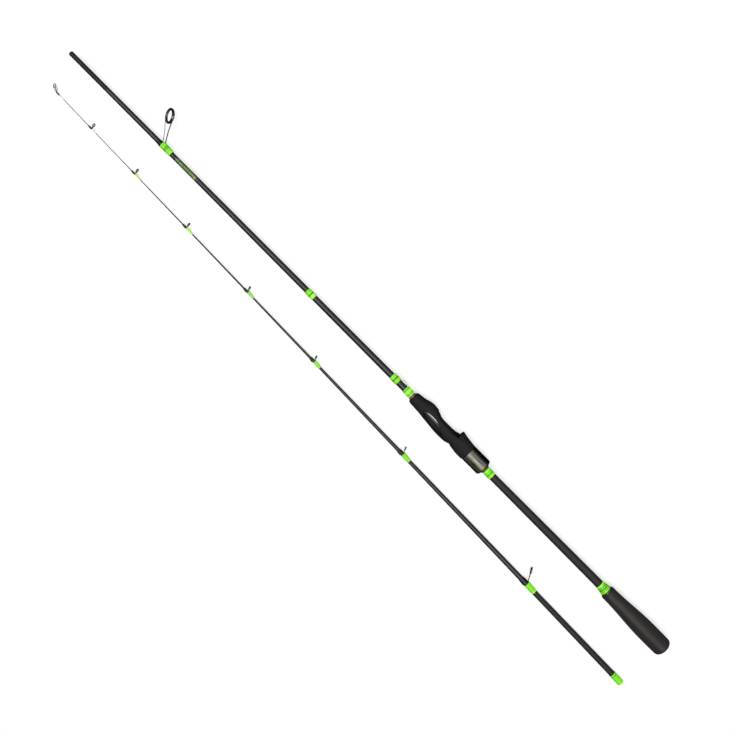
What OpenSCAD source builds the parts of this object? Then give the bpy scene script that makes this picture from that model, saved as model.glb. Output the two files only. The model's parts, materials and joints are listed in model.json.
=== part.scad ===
// Two-piece spinning rod, taken apart, with its handle section and its tip section lying side by side.
// +X runs along the handle section towards the knob, +Y is the way the line guides point, +Z is up.

/* [Handle section] */
// Length of the handle section, from its ferrule end to the end of the knob
handle_len = 1077; // [1070:1:1090]
// Outside diameter of the parallel ferrule end
ferrule_d = 6.4; // [6.2:0.1:6.6]
// Length of the parallel ferrule end
ferrule_len = 68; // [60:1:72]
// Blank diameter just in front of the reel seat
blank_mid_d = 8.8; // [8.6:0.1:9]
// Blank diameter at its rear end, inside the knob
blank_rear_d = 12.4; // [12:0.1:12.6]
// Wall thickness of the carbon tube
blank_wall = 1; // [0.8:0.1:1.1]
// Distance from the ferrule end to the front face of the reel seat
seat_x = 622; // [618:1:626]
// Length of the foam knob
knob_len = 102; // [95:1:110]
// Largest diameter of the foam knob
knob_d = 25.8; // [25:0.2:27]
// Diameter of the foam knob at its front face
knob_front_d = 19.4; // [18:0.2:20]

/* [Reel seat] */
// Height of the reel foot bed above the blank's axis
bed_y = 5.5; // [5.4:0.05:5.6]
// Diameter of the lock nut's metal sleeve
nut_d = 23.4; // [22.8:0.1:23.6]
// Length of the lock nut
nut_len = 29.6; // [29:0.1:30]
// How far the moving hood travels forward
hood_travel = 18; // [10:1:18]
// Thread crest spacing on the hood's tail
thread_pitch = 1.5; // [1:0.5:3]

/* [Line guides] */
// Lean of the stripper guide and the tip ring towards the tip
lean = 26; // [22:1:30]
// Height of the stripper ring's centre above the blank's axis
stripper_h = 34.6; // [32:0.2:36]
// Outside diameter of the stripper guide's frame ring
stripper_d = 20.2; // [18:0.2:21]
// Distance from the ferrule end to the stripper guide's leg
stripper_x = 166.6; // [160:0.2:172]

/* [Tip section] */
// Length of the tip section's tube, from the tip ring's centre to the open ferrule
tip_len = 1090; // [1085:1:1095]
// Outside diameter of the tube at the open ferrule
tip_ferrule_d = 8.6; // [8.2:0.1:8.8]
// Radial clearance of the ferrule joint
ferrule_gap = 0.03; // [0.02:0.01:0.08]

/* [Layout] */
// Angle between the two sections as they lie
lay_angle = 1.28; // [1:0.01:1.5]
// Distance between the two axes at the tip end
lay_gap = 55.2; // [50:0.2:60]

/* [Hidden] */
$fn = 48;

// Colours
CARBON = [0.13, 0.13, 0.13];
SEAT_BLACK = [0.16, 0.15, 0.15];
GREEN = [0.43, 0.88, 0.1];
LOCK_BLACK = [0.08, 0.08, 0.07];
FRAME_GREY = [0.3, 0.3, 0.3];
RING_DARK = [0.16, 0.11, 0.09];
GUNMETAL = [0.5, 0.46, 0.41];
FOAM = [0.2, 0.19, 0.18];

// Handle blank: its front end is parallel, then it tapers in three straight stretches
SLOW_X = 240;
SLOW_R = 3.5;
TAPER_X = 600;
BLANK_END = handle_len - 9;
function butt_r(x) = lookup(x, [
    [0, ferrule_d / 2],
    [ferrule_len, ferrule_d / 2],
    [SLOW_X, SLOW_R],
    [TAPER_X, blank_mid_d / 2],
    [BLANK_END, blank_rear_d / 2]
]);

// Tip blank: outside radius along its own axis, from the tip ring's centre
TIP_START = 8.6;
FERRULE_DEPTH = ferrule_len + 2;
function tip_r(x) = lookup(x, [
    [0, 0.45], [120, 0.5], [400, 1.3], [660, 2.55], [1000, 4.0], [tip_len, tip_ferrule_d / 2]
]);

// Reel seat, measured backward from its front face
SHOULDER = 99.8;
BARREL_END = 127.6;
BARREL_R = 9.2;
BARREL_GAP = 0.05;
BED_DROP = 0.1;
FRONT_BORE_R = 6;
REAR_BORE_R = 5.9;
GLUE = 0.15;
POCKET_HALF = 6.2;
POCKET_TOP = bed_y + 4.5;
CHANNEL_HALF = 8.25;
HOOD_HALF = 8;
HOOD_X = 77.2;
CHANNEL_X = HOOD_X - hood_travel - 1.2;
HOOD_FLOOR = bed_y + 0.2;
TAIL_FLOOR = 6.8;
TAIL_END = 122;
SLOT_FLOOR = 6.6;
SLOT_HALF = 6.25;
SNAP_X = 125.2;
SNAP_W = 1.2;
NUT_X = SHOULDER + 0.3;
NUT_SPLIT_R = nut_d / 2 - 0.8;

// Reel seat sections: [place, underside, guide side, half width]
SEAT = [
    [0, -6.7, 6.7, 6.9], [1.5, -7.6, 7.6, 7.8], [4, -8.1, 8.4, 8.4], [9, -8.4, 9, 8.8],
    [15, -8.7, 10.1, 9.2], [19, -9, 11.5, 9.6], [23, -9.4, 12.4, 10], [26, -9.7, 12.7, 10.1],
    [31, -10.3, 12.5, 9.9], [35, -10.7, 12, 9.6], [40, -11.3, 10.7, 9.2], [45, -11.8, 8.8, 8.8],
    [50, -12.3, 7.9, 8.6], [57, -12.5, 7.8, 8.7], [64, -12.3, 7.8, 9.2], [69, -11.6, 8.6, 9.8],
    [75.5, -9.5, 10, 10.4], [78.5, -10.6, 10.8, 10.6], [82, -11.2, 12.7, 10.9],
    [92, -12.3, 12.6, 11], [SHOULDER, -12.2, 12, 11]
];
SEAT_POINTS = 32;
SEAT_POWER = 2.4;

// Stripper guide's foot and wrap
STRIPPER_FOOT = 16;
STRIPPER_WRAP = 17;

// Small guides: [leg's place on the tip section, ring centre's height, frame diameter, wrap length,
// lean, foot thickness]
GUIDES = [
    [75.3, 5.7, 5.3, 8, 11, 0.9], [157.6, 6, 5.3, 10.8, 10, 1.5], [255.6, 6, 5.3, 11.8, 9, 1.5],
    [372.4, 6.1, 5.3, 11.2, 21, 1], [499.3, 6.5, 5.3, 11.6, 25, 1], [668.9, 8.9, 5.8, 13.3, 26, 0.9],
    [906.6, 18.6, 9.3, 16, 34, 0.9]
];

// Where the sections lie: the box that holds them is centred on the origin, and they rest on z = 0
TIP_X = -0.6;
TIP_REACH = 0.25;
WRAP_T = 0.35;
FILM = 0.05;
FOOT_T = 0.75;
FOOT_END_T = 0.2;
FERRULE_WRAP_R = tip_ferrule_d / 2 + WRAP_T + 0.1;
MID_X = TIP_X + (tip_len * cos(lay_angle) + FERRULE_WRAP_R * sin(lay_angle) - TIP_REACH) / 2;
SIDE_LOW = -lay_gap - tip_len * sin(lay_angle) - FERRULE_WRAP_R;
SIDE_HIGH = stripper_h + stripper_d / 2 * cos(lean) + (stripper_d * 0.0225 + 0.2) * sin(lean);
MID_Y = (SIDE_LOW + SIDE_HIGH) / 2;

module place_handle() {
    translate([-MID_X, -MID_Y, knob_d / 2]) children();
}

module place_tip() {
    translate([TIP_X - MID_X, -lay_gap - MID_Y, FERRULE_WRAP_R]) rotate([0, 0, -lay_angle])
        children();
}

module place_seat() {
    place_handle() translate([seat_x, 0, 0]) children();
}

// Turns an outline of [radius, place] into a solid about the X axis
module turned(points) {
    rotate([0, 90, 0]) rotate_extrude() polygon(points);
}

// Straight round bar between two points
module bar(p, q, d) {
    v = q - p;
    translate(p) rotate([0, acos(v.z / norm(v)), atan2(v.y, v.x)]) cylinder(h = norm(v), d = d);
}

// Tube round an axis, from place a to place b, between two radii
module ring(a, b, r_in, r_out) {
    turned([[r_in, a], [r_out, a], [r_out, b], [r_in, b]]);
}

// Thread winding with bevelled ends, t0 thick at place a and t1 thick at place b
module winding(a, b, ra, rb, t0, t1) {
    bevel = min(0.6, (b - a) / 4);
    turned([
        [ra + FILM, a], [ra + t0 * 0.55, a], [ra + t0, a + bevel],
        [rb + t1, b - bevel], [rb + t1 * 0.55, b], [rb + FILM, b]
    ]);
}

module butt_winding(a, b, t0 = 0.6, t1 = 0.6) {
    winding(a, b, butt_r(a), butt_r(b), t0, t1);
}

module tip_winding(a, b, t0 = WRAP_T, t1 = WRAP_T) {
    winding(a, b, tip_r(a), tip_r(b), t0, t1);
}

// ---- Line guides ----

// Flat stamped outline: a ring on two legs that meet at the foot, or on one solid leg when it is small
module guide_outline(reach, d, hole_r) {
    r = d / 2;
    open_leg = reach - r > 8;
    difference() {
        union() {
            translate([0, reach]) circle(r = r);
            polygon([
                [-0.9 - d * 0.04, 0], [-r * 0.9, reach - r * 0.42],
                [r * 0.9, reach - r * 0.42], [0.9 + d * 0.04, 0]
            ]);
        }
        translate([0, reach]) circle(r = hole_r);
        if (open_leg)
            polygon([
                [-0.35, (reach - r) * 0.3], [-r * 0.9 + 1.9, reach - r * 0.78],
                [0, reach - r - 0.9],
                [r * 0.9 - 1.9, reach - r * 0.78], [0.35, (reach - r) * 0.3]
            ]);
    }
}

// Leans a flat outline towards the tip, with its foot at [x, y]
module leaning(x, y, turn) {
    translate([x, y, 0]) rotate([0, 0, turn]) rotate([0, 90, 0]) children();
}

// A foot is never wider than the blank it lies on
function foot_w(d, r0) = min(1.6 + d * 0.1, 1.7 * r0);

// Room that a guide's foot takes, from the blank's axis outward
module foot_room(x, r0, r1, len, w, foot_t) {
    translate([0, 0, -w / 2]) linear_extrude(w) polygon([
        [x - 0.8, 0], [x - 0.8, r0 + foot_t], [x + 1, r0 + foot_t],
        [x + len, r1 + FOOT_END_T], [x + len, 0]
    ]);
}

module foot(x, r0, r1, len, w, foot_t) {
    difference() {
        foot_room(x, r0, r1, len, w, foot_t);
        turned([[0, x - 2], [r0, x - 2], [r0, x], [r1, x + len], [r1, x + len + 1], [0, x + len + 1]]);
    }
}

// Frame: leaning ring and legs, and the foot that lies on the blank
module guide_frame(x, h, d, r0, r1, foot_len, turn, foot_t) {
    reach = (h - r0 - foot_t / 2) / cos(turn);
    leaning(x, r0 + foot_t / 2, turn) linear_extrude(d * 0.045 + 0.4, center = true)
        guide_outline(reach, d, d / 2 * 0.86);
    foot(x, r0, r1, foot_len, foot_w(d, r0), foot_t);
}

// Hard ring: it passes through the frame and has a flange on the handle side
module guide_ring(x, h, d, r0, turn, foot_t) {
    reach = (h - r0 - foot_t / 2) / cos(turn);
    half = d * 0.0225 + 0.2;
    r_in = d / 2 * 0.74;
    r_seat = d / 2 * 0.86;
    r_flange = d / 2 * 0.97;
    lip = d * 0.05 + 0.25;
    leaning(x, r0 + foot_t / 2, turn) translate([0, reach, 0]) rotate_extrude() polygon([
        [r_in, -half - lip * 0.2], [r_in + lip * 0.3, -half - lip], [r_seat, -half - lip * 0.6],
        [r_seat, half], [r_flange, half], [r_flange - lip * 0.2, half + lip * 0.8],
        [r_in + lip * 0.5, half + lip * 1.2], [r_in, half + lip * 0.6]
    ]);
}

// Winding round the blank and up over a guide's foot, with the foot's own space left out
module foot_wrap(x, r0, r1, d, foot_len, wrap_len, foot_t) {
    w = foot_w(d, r0);
    difference() {
        union() {
            winding(x + 0.9, x + wrap_len, r0, r1, WRAP_T + 0.1, WRAP_T);
            intersection() {
                winding(x + 0.9, x + wrap_len - 0.4, r0, r1, foot_t + 0.35, WRAP_T - 0.1);
                translate([x, 0, -w / 2 - 0.35]) cube([wrap_len + 1, r0 + foot_t + 2, w + 0.7]);
            }
        }
        foot_room(x, r0, r1, foot_len, w, foot_t);
    }
}

// Black winding in front of a guide's leg, rising towards it
module lock_wrap(x, r_front, r0, len) {
    turned([[r_front + FILM, x - len], [r0 + FILM, x - 1], [r0 + FOOT_T + 0.2, x - 1],
        [r0 + FOOT_T + 0.2, x - 1.6], [r_front + FILM + 0.12, x - len]]);
}

// ---- Handle section ----

module butt_blank() {
    color(CARBON) place_handle() turned([
        [ferrule_d / 2 - blank_wall, 0], [ferrule_d / 2 - 0.3, 0], [ferrule_d / 2, 0.5],
        [ferrule_d / 2, ferrule_len], [SLOW_R, SLOW_X], [butt_r(TAPER_X), TAPER_X],
        [butt_r(BLANK_END), BLANK_END], [butt_r(BLANK_END) - blank_wall, BLANK_END],
        [butt_r(TAPER_X) - blank_wall, TAPER_X], [SLOW_R - blank_wall, SLOW_X],
        [ferrule_d / 2 - blank_wall, ferrule_len]
    ]);
}

module stripper_frame() {
    color(FRAME_GREY) place_handle() guide_frame(stripper_x, stripper_h, stripper_d,
        butt_r(stripper_x), butt_r(stripper_x + STRIPPER_FOOT), STRIPPER_FOOT, lean, FOOT_T);
}

module stripper_ring() {
    color(RING_DARK) place_handle()
        guide_ring(stripper_x, stripper_h, stripper_d, butt_r(stripper_x), lean, FOOT_T);
}

module stripper_wrap() {
    end = stripper_x + STRIPPER_WRAP;
    color(GREEN) place_handle() difference() {
        winding(stripper_x - 0.8, end, butt_r(stripper_x - 0.8), butt_r(end),
            FOOT_T + 0.5, 0.5);
        foot_room(stripper_x, butt_r(stripper_x), butt_r(stripper_x + STRIPPER_FOOT),
            STRIPPER_FOOT, foot_w(stripper_d, butt_r(stripper_x)), FOOT_T);
        leaning(stripper_x, butt_r(stripper_x), lean)
            linear_extrude(stripper_d * 0.045 + 0.4, center = true)
                square([4.4, 8], center = true);
    }
}

module stripper_lock_wrap() {
    a = stripper_x - 7;
    b = stripper_x - 0.85;
    color(LOCK_BLACK) place_handle() turned([
        [butt_r(a) + FILM, a], [butt_r(a) + FILM + 0.12, a],
        [butt_r(b) + 0.9, b], [butt_r(b) + FILM, b]
    ]);
}

module mid_wrap() {
    color(GREEN) place_handle() butt_winding(430, 443);
}

KEEPER_A = 597;
KEEPER_B = 606;
KEEPER_D = 1;
KEEPER_LEG_D = 1.1;
KEEPER_R = 2;
KEEPER_Y = 5.17;

// Bent wire loop that a hook hangs on
module hook_keeper() {
    mid = (KEEPER_A + KEEPER_B) / 2;
    inner = KEEPER_R - 0.8;
    color("silver") place_handle() union() {
        translate([mid, KEEPER_Y, 0]) rotate([0, 0, -3]) rotate_extrude(angle = 186)
            translate([KEEPER_R, 0]) circle(d = KEEPER_D);
        bar([KEEPER_A - 7, KEEPER_Y, 0], [mid - inner, KEEPER_Y, 0], KEEPER_LEG_D);
        bar([mid + inner, KEEPER_Y, 0], [KEEPER_B + 7, KEEPER_Y, 0], KEEPER_LEG_D);
    }
}

module keeper_wrap(a, b) {
    color(GREEN) place_handle() difference() {
        union() {
            butt_winding(a, b);
            intersection() {
                butt_winding(a, b, 1.7, 1.7);
                translate([a, 0, -1.6]) cube([b - a, 9, 3.2]);
            }
        }
        bar([KEEPER_A - 7.2, KEEPER_Y, 0], [KEEPER_B + 7.2, KEEPER_Y, 0], KEEPER_LEG_D + 0.2);
    }
}

module keeper_front_wrap() {
    keeper_wrap(584, 595.4);
}

module keeper_rear_wrap() {
    keeper_wrap(607.6, 619.4);
}

module front_check() {
    r = butt_r(seat_x);
    color([0.42, 0.3, 0.2]) place_handle()
        turned([[r, seat_x - 2], [r + 0.6, seat_x - 2], [5.7, seat_x - 1.2], [5.7, seat_x],
            [r, seat_x]]);
}

// ---- Reel seat ----

// One cross-section of the seat: an oval with square shoulders
function seat_section(s) = [
    for (i = [0 : SEAT_POINTS - 1])
        let (a = 360 * i / SEAT_POINTS, c = cos(a), t = sin(a), p = 2 / SEAT_POWER)
        [s[0],
         (s[1] + s[2]) / 2 + (s[2] - s[1]) / 2 * sign(c) * pow(abs(c), p),
         s[3] * sign(t) * pow(abs(t), p)]
];

module seat_shell() {
    rows = len(SEAT);
    points = [for (s = SEAT) each seat_section(s)];
    sides = [
        for (j = [0 : rows - 2], i = [0 : SEAT_POINTS - 1])
            let (k = (i + 1) % SEAT_POINTS, a = j * SEAT_POINTS, b = (j + 1) * SEAT_POINTS)
            each [[a + i, b + i, b + k], [a + i, b + k, a + k]]
    ];
    front = [[for (i = [0 : SEAT_POINTS - 1]) i]];
    back = [[for (i = [SEAT_POINTS - 1 : -1 : 0]) (rows - 1) * SEAT_POINTS + i]];
    polyhedron(points = points, faces = concat(sides, front, back), convexity = 6);
}

// Leaf-shaped recess on each side that shows the blank, falling towards the rear
WINDOW_X = 21.5;
WINDOW_LEN = 41;
WINDOW_WEB = 2.6;
module window_outline() {
    steps = 10;
    polygon(concat(
        [for (i = [0 : steps]) let (t = i / steps)
            [WINDOW_X + WINDOW_LEN * t, -0.3 - 6.7 * t + 6.2 * sin(180 * pow(t, 0.85))]],
        [for (i = [steps - 1 : -1 : 1]) let (t = i / steps)
            [WINDOW_X + WINDOW_LEN * t, -0.3 - 6.7 * t - 5.2 * sin(180 * pow(t, 0.7))]]
    ));
}

module seat_bore() {
    front = 20;
    rear = 104;
    function bore_r(x) = butt_r(seat_x + x) + GLUE;
    turned([
        [0, -1], [FRONT_BORE_R, -1], [FRONT_BORE_R, front], [bore_r(front), front],
        [bore_r(rear), rear], [REAR_BORE_R, rear], [REAR_BORE_R, BARREL_END + 1],
        [0, BARREL_END + 1]
    ]);
}

module seat_body() {
    color(SEAT_BLACK) place_seat() difference() {
        union() {
            seat_shell();
            ring(SHOULDER - 1, BARREL_END, 3, BARREL_R);
        }
        seat_bore();
        // pocket under the fixed hood, and the raised bed behind it
        translate([23, bed_y - BED_DROP, -POCKET_HALF])
            cube([14, POCKET_TOP - bed_y + BED_DROP, 2 * POCKET_HALF]);
        translate([36, bed_y, -POCKET_HALF]) cube([CHANNEL_X - 35, 12, 2 * POCKET_HALF]);
        // channel that the moving hood slides in, and the slot for its tail
        translate([CHANNEL_X, bed_y - BED_DROP, -CHANNEL_HALF])
            cube([SHOULDER - CHANNEL_X + 0.1, 12, 2 * CHANNEL_HALF]);
        translate([SHOULDER - 2, SLOT_FLOOR, -SLOT_HALF])
            cube([TAIL_END - SHOULDER + 3, 6, 2 * SLOT_HALF]);
        // groove for the snap ring
        ring(SNAP_X, SNAP_X + SNAP_W, BARREL_R - 0.9, BARREL_R + 1);
        for (z = [-WINDOW_WEB - 20, WINDOW_WEB])
            translate([0, 0, z]) linear_extrude(20) window_outline();
    }
}

module arbor(a, b, r_out) {
    turned([
        [butt_r(seat_x + a), a], [r_out, a], [r_out, b], [butt_r(seat_x + b), b]
    ]);
}

module front_arbor() {
    color("tan") place_seat() arbor(0.2, 19.8, FRONT_BORE_R);
}

module rear_arbor() {
    color("tan") place_seat() arbor(104.2, BARREL_END, REAR_BORE_R);
}

// Outline of the moving hood's dome, drawn in by t
module hood_dome(t) {
    turned([[0, HOOD_X], [14.1 - t, HOOD_X], [14.9 - t, HOOD_X + 0.9], [14.9 - t, HOOD_X + 2.2],
        [13.4 - t, HOOD_X + 8], [12.5 - t, HOOD_X + 15], [11.7 - t, SHOULDER], [0, SHOULDER]]);
}

// Hood that slides forward over the reel foot, with a threaded tail inside the nut
module moving_hood() {
    crest = BARREL_R - 0.1;
    wall = 1.5;
    pocket_len = 15.5;
    root = crest - 0.5;
    turns = floor((TAIL_END - SHOULDER - 2) / thread_pitch);
    color([0.1, 0.1, 0.1]) place_seat() union() {
        difference() {
            intersection() {
                hood_dome(0);
                translate([HOOD_X - 1, HOOD_FLOOR, -HOOD_HALF])
                    cube([SHOULDER - HOOD_X + 2, 12, 2 * HOOD_HALF]);
            }
            intersection() {
                translate([-0.1, 0, 0]) hood_dome(wall);
                translate([HOOD_X - 1, HOOD_FLOOR - 1, -HOOD_HALF + wall])
                    cube([pocket_len + 1, 7, 2 * (HOOD_HALF - wall)]);
            }
            // the mouth's lower corners sweep back
            translate([HOOD_X, HOOD_FLOOR, 0]) rotate([0, 0, 25])
                translate([-6, -8, -HOOD_HALF - 1]) cube([6, 13.5, 2 * HOOD_HALF + 2]);
        }
        intersection() {
            turned(concat(
                [[0, SHOULDER - 1], [crest, SHOULDER - 1]],
                [for (i = [0 : turns - 1]) let (x = SHOULDER + 1 + i * thread_pitch)
                    each [[crest, x], [root, x + thread_pitch * 0.35],
                          [root, x + thread_pitch * 0.6], [crest, x + thread_pitch * 0.95]]],
                [[crest, TAIL_END], [0, TAIL_END]]
            ));
            translate([SHOULDER - 1, TAIL_FLOOR, -6]) cube([TAIL_END - SHOULDER + 1, 6, 12]);
        }
    }
}

// Nut: a plastic inner ring in a metal sleeve, held on the barrel by a snap ring
module lock_nut() {
    bore = BARREL_R + BARREL_GAP;
    end = NUT_X + nut_len - 1.8;
    color("dimgray") place_seat() turned([
        [bore, NUT_X], [NUT_SPLIT_R, NUT_X], [NUT_SPLIT_R, end], [bore, end],
        [bore, SNAP_X + SNAP_W + 0.2], [BARREL_R + 0.8, SNAP_X + SNAP_W + 0.2],
        [BARREL_R + 0.8, SNAP_X - 0.2], [bore, SNAP_X - 0.2]
    ]);
}

module nut_sleeve() {
    r = nut_d / 2;
    end = NUT_X + nut_len;
    color(GUNMETAL) place_seat() turned([
        [NUT_SPLIT_R, NUT_X], [r - 0.3, NUT_X], [r, NUT_X + 0.3], [r, end - 2.4],
        [r - 0.5, end - 1.5], [8, end], [6.8, end], [6.8, end - 1.6],
        [NUT_SPLIT_R, end - 1.6]
    ]);
}

module nut_snap_ring() {
    color("silver") place_seat() difference() {
        ring(SNAP_X + 0.05, SNAP_X + SNAP_W - 0.05, BARREL_R - 0.85, BARREL_R + 0.6);
        translate([SNAP_X - 1, -BARREL_R - 2, -2]) cube([SNAP_W + 2, 4, 4]);
    }
}

module rear_check() {
    a = NUT_X + nut_len + 0.3;
    r = butt_r(seat_x + a);
    color(LOCK_BLACK) place_seat()
        turned([[r, a], [6.3, a], [6.3, a + 1.3], [r + 0.7, a + 1.9], [r, a + 1.9]]);
}

// ---- Rear grip and knob ----

module grip_wrap() {
    a = seat_x + NUT_X + nut_len + 2.3;
    color(GREEN) place_handle() butt_winding(a, a + 11.6);
}

KNOB_X = handle_len - knob_len;
module knob_wrap() {
    a = KNOB_X - 14.5;
    b = KNOB_X - 1.8;
    color(GREEN) place_handle() turned([
        [butt_r(a), a], [butt_r(a) + 0.2, a], [butt_r(a) + 0.35, a + 0.6],
        [6.7, b - 5.6], [7.9, b - 1], [8, b], [butt_r(b), b]
    ]);
}

module knob_check() {
    a = KNOB_X - 1.7;
    color(LOCK_BLACK) place_handle()
        turned([[butt_r(a), a], [8, a], [8.3, KNOB_X], [butt_r(KNOB_X), KNOB_X]]);
}

// The knob swells from its front face to full size, and ends in a low dome
module butt_knob() {
    steps = 16;
    swell_len = knob_len * 0.7;
    front_r = knob_front_d / 2;
    full_r = knob_d / 2;
    round_r = 4.5;
    dome = 0.6;
    corner_x = handle_len - dome - round_r;
    color(FOAM) place_handle() turned(concat(
        [[butt_r(KNOB_X), KNOB_X], [front_r - 0.9, KNOB_X]],
        [for (i = [0 : steps]) let (t = i / steps)
            [front_r + (full_r - front_r) * pow(sin(90 * t), 2.2),
             KNOB_X + 0.9 + (swell_len - 0.9) * t]],
        [for (a = [0 : 15 : 90])
            [full_r - 0.2 - round_r + round_r * cos(a), corner_x + round_r * sin(a)]],
        [[full_r * 0.4, handle_len - dome * 0.25], [0, handle_len], [0, BLANK_END],
         [butt_r(BLANK_END), BLANK_END]]
    ));
}

// ---- Tip section ----

module tip_blank() {
    bore_r = ferrule_d / 2 + ferrule_gap;
    core_x = 420;
    color(CARBON) place_tip() turned([
        [0, TIP_START], [tip_r(TIP_START), TIP_START], [tip_r(120), 120], [tip_r(400), 400],
        [tip_r(660), 660], [tip_r(1000), 1000], [tip_r(tip_len), tip_len],
        [bore_r, tip_len], [bore_r, tip_len - FERRULE_DEPTH],
        [bore_r - 0.5, tip_len - FERRULE_DEPTH], [0.5, core_x], [0, core_x]
    ]);
}

module ferrule_wrap() {
    len = 18;
    color(GREEN) place_tip() tip_winding(tip_len - len, tip_len, WRAP_T + 0.1, WRAP_T + 0.1);
}

TOP_RING_D = 5.5;
TOP_RING_H = 4.5;
TOP_RING_X = 1.1;
TUBE_A = 7.6;
TUBE_B = 14;
TUBE_R = 1.05;
module top_leaning() {
    translate([TOP_RING_X, TOP_RING_H, 0]) rotate([0, 0, lean]) rotate([0, 90, 0]) children();
}

// Tube with a ring on four braces; the ring's seat is cleared right through
module tip_top_frame() {
    color(FRAME_GREY) place_tip() difference() {
        union() {
            turned([[0, TUBE_A], [TUBE_R, TUBE_A], [TUBE_R, TUBE_B], [0, TUBE_B]]);
            top_leaning() linear_extrude(0.65, center = true) circle(d = TOP_RING_D);
            for (side = [-1, 1]) {
                bar([TUBE_A + 0.45, -0.1, side * 0.45], [2.2, TOP_RING_H - 2.1, side * 1.5], 0.7);
                bar([TUBE_A + 0.45, 0.6, side * 0.2], [6, 3.4, side * 1.3], 0.5);
                translate([6, 3.4, side * 1.3]) sphere(d = 0.8);
                bar([6, 3.4, side * 1.3], [1.2, TOP_RING_H + 0.4, side * 2.5], 0.6);
            }
        }
        turned([[0, TIP_START], [tip_r(TIP_START), TIP_START], [tip_r(TUBE_B + 1), TUBE_B + 1],
            [0, TUBE_B + 1]]);
        top_leaning() cylinder(h = 3, d = TOP_RING_D * 0.86, center = true);
    }
}

module tip_top_ring() {
    r = TOP_RING_D / 2;
    color(RING_DARK) place_tip() top_leaning() rotate_extrude() polygon([
        [r * 0.68, -0.4], [r * 0.74, -0.65], [r * 0.86, -0.5], [r * 0.86, 0.5],
        [r * 0.74, 0.65], [r * 0.68, 0.4]
    ]);
}

module tip_top_wrap() {
    color([0.8, 0.86, 0.7]) place_tip() tip_winding(TUBE_B, TUBE_B + 7.5, 0.35, 0.2);
}

module guide_lock_wraps() {
    color(LOCK_BLACK) place_tip() for (g = GUIDES) {
        len = 4 + g[2] * 0.6;
        lock_wrap(g[0], tip_r(g[0] - len), tip_r(g[0]), len);
    }
}

FOOT_SHARE = 0.85;
module small_frame(n) {
    g = GUIDES[n - 1];
    foot_len = g[3] * FOOT_SHARE;
    color(FRAME_GREY) place_tip()
        guide_frame(g[0], g[1], g[2], tip_r(g[0]), tip_r(g[0] + foot_len), foot_len, g[4], g[5]);
}

module small_ring(n) {
    g = GUIDES[n - 1];
    color(RING_DARK) place_tip() guide_ring(g[0], g[1], g[2], tip_r(g[0]), g[4], g[5]);
}

module small_wrap(n) {
    g = GUIDES[n - 1];
    foot_len = g[3] * FOOT_SHARE;
    color(GREEN) place_tip() foot_wrap(g[0], tip_r(g[0]), tip_r(g[0] + g[3]), g[2],
        foot_len, g[3], g[5]);
}

butt_blank();
stripper_frame();
stripper_ring();
stripper_wrap();
stripper_lock_wrap();
mid_wrap();
hook_keeper();
keeper_front_wrap();
keeper_rear_wrap();
front_check();
seat_body();
front_arbor();
rear_arbor();
moving_hood();
lock_nut();
nut_sleeve();
nut_snap_ring();
rear_check();
grip_wrap();
knob_wrap();
knob_check();
butt_knob();
tip_blank();
ferrule_wrap();
tip_top_frame();
tip_top_ring();
tip_top_wrap();
guide_lock_wraps();
small_frame(1);  // guide_1_frame
small_ring(1);  // guide_1_ring
small_wrap(1);  // guide_1_wrap
small_frame(2);  // guide_2_frame
small_ring(2);  // guide_2_ring
small_wrap(2);  // guide_2_wrap
small_frame(3);  // guide_3_frame
small_ring(3);  // guide_3_ring
small_wrap(3);  // guide_3_wrap
small_frame(4);  // guide_4_frame
small_ring(4);  // guide_4_ring
small_wrap(4);  // guide_4_wrap
small_frame(5);  // guide_5_frame
small_ring(5);  // guide_5_ring
small_wrap(5);  // guide_5_wrap
small_frame(6);  // guide_6_frame
small_ring(6);  // guide_6_ring
small_wrap(6);  // guide_6_wrap
small_frame(7);  // guide_7_frame
small_ring(7);  // guide_7_ring
small_wrap(7);  // guide_7_wrap
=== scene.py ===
"""Looks for a two-piece spinning rod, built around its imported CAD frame.

Every piece is made in the local millimetres of its section (x along the section, y the way the
line guides point, z up) and then carried into the row frame."""

import json
import math

import bmesh
import bpy
import numpy as np
from mathutils import Matrix, Vector


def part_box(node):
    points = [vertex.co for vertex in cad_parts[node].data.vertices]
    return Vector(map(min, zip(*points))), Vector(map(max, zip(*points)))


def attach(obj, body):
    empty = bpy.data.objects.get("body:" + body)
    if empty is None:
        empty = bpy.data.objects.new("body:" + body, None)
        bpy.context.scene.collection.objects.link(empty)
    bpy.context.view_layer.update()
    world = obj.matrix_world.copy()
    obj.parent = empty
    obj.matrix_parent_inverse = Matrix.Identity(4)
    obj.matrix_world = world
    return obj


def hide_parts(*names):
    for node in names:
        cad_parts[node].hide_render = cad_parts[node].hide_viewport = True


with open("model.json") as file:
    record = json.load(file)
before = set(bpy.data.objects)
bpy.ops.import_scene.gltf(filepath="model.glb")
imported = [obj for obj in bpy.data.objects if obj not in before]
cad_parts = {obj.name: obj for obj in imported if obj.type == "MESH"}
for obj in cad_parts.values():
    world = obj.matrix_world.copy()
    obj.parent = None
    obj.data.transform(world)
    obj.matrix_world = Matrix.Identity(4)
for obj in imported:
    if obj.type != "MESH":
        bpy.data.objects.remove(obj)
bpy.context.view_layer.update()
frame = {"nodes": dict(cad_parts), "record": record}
NODES = frame["nodes"]
MM = 0.001
SEG = 64  # points round a turned piece
LEAN = math.radians(26)  # of the stripper guide

# ---- where the two sections lie --------------------------------------------------------------

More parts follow.
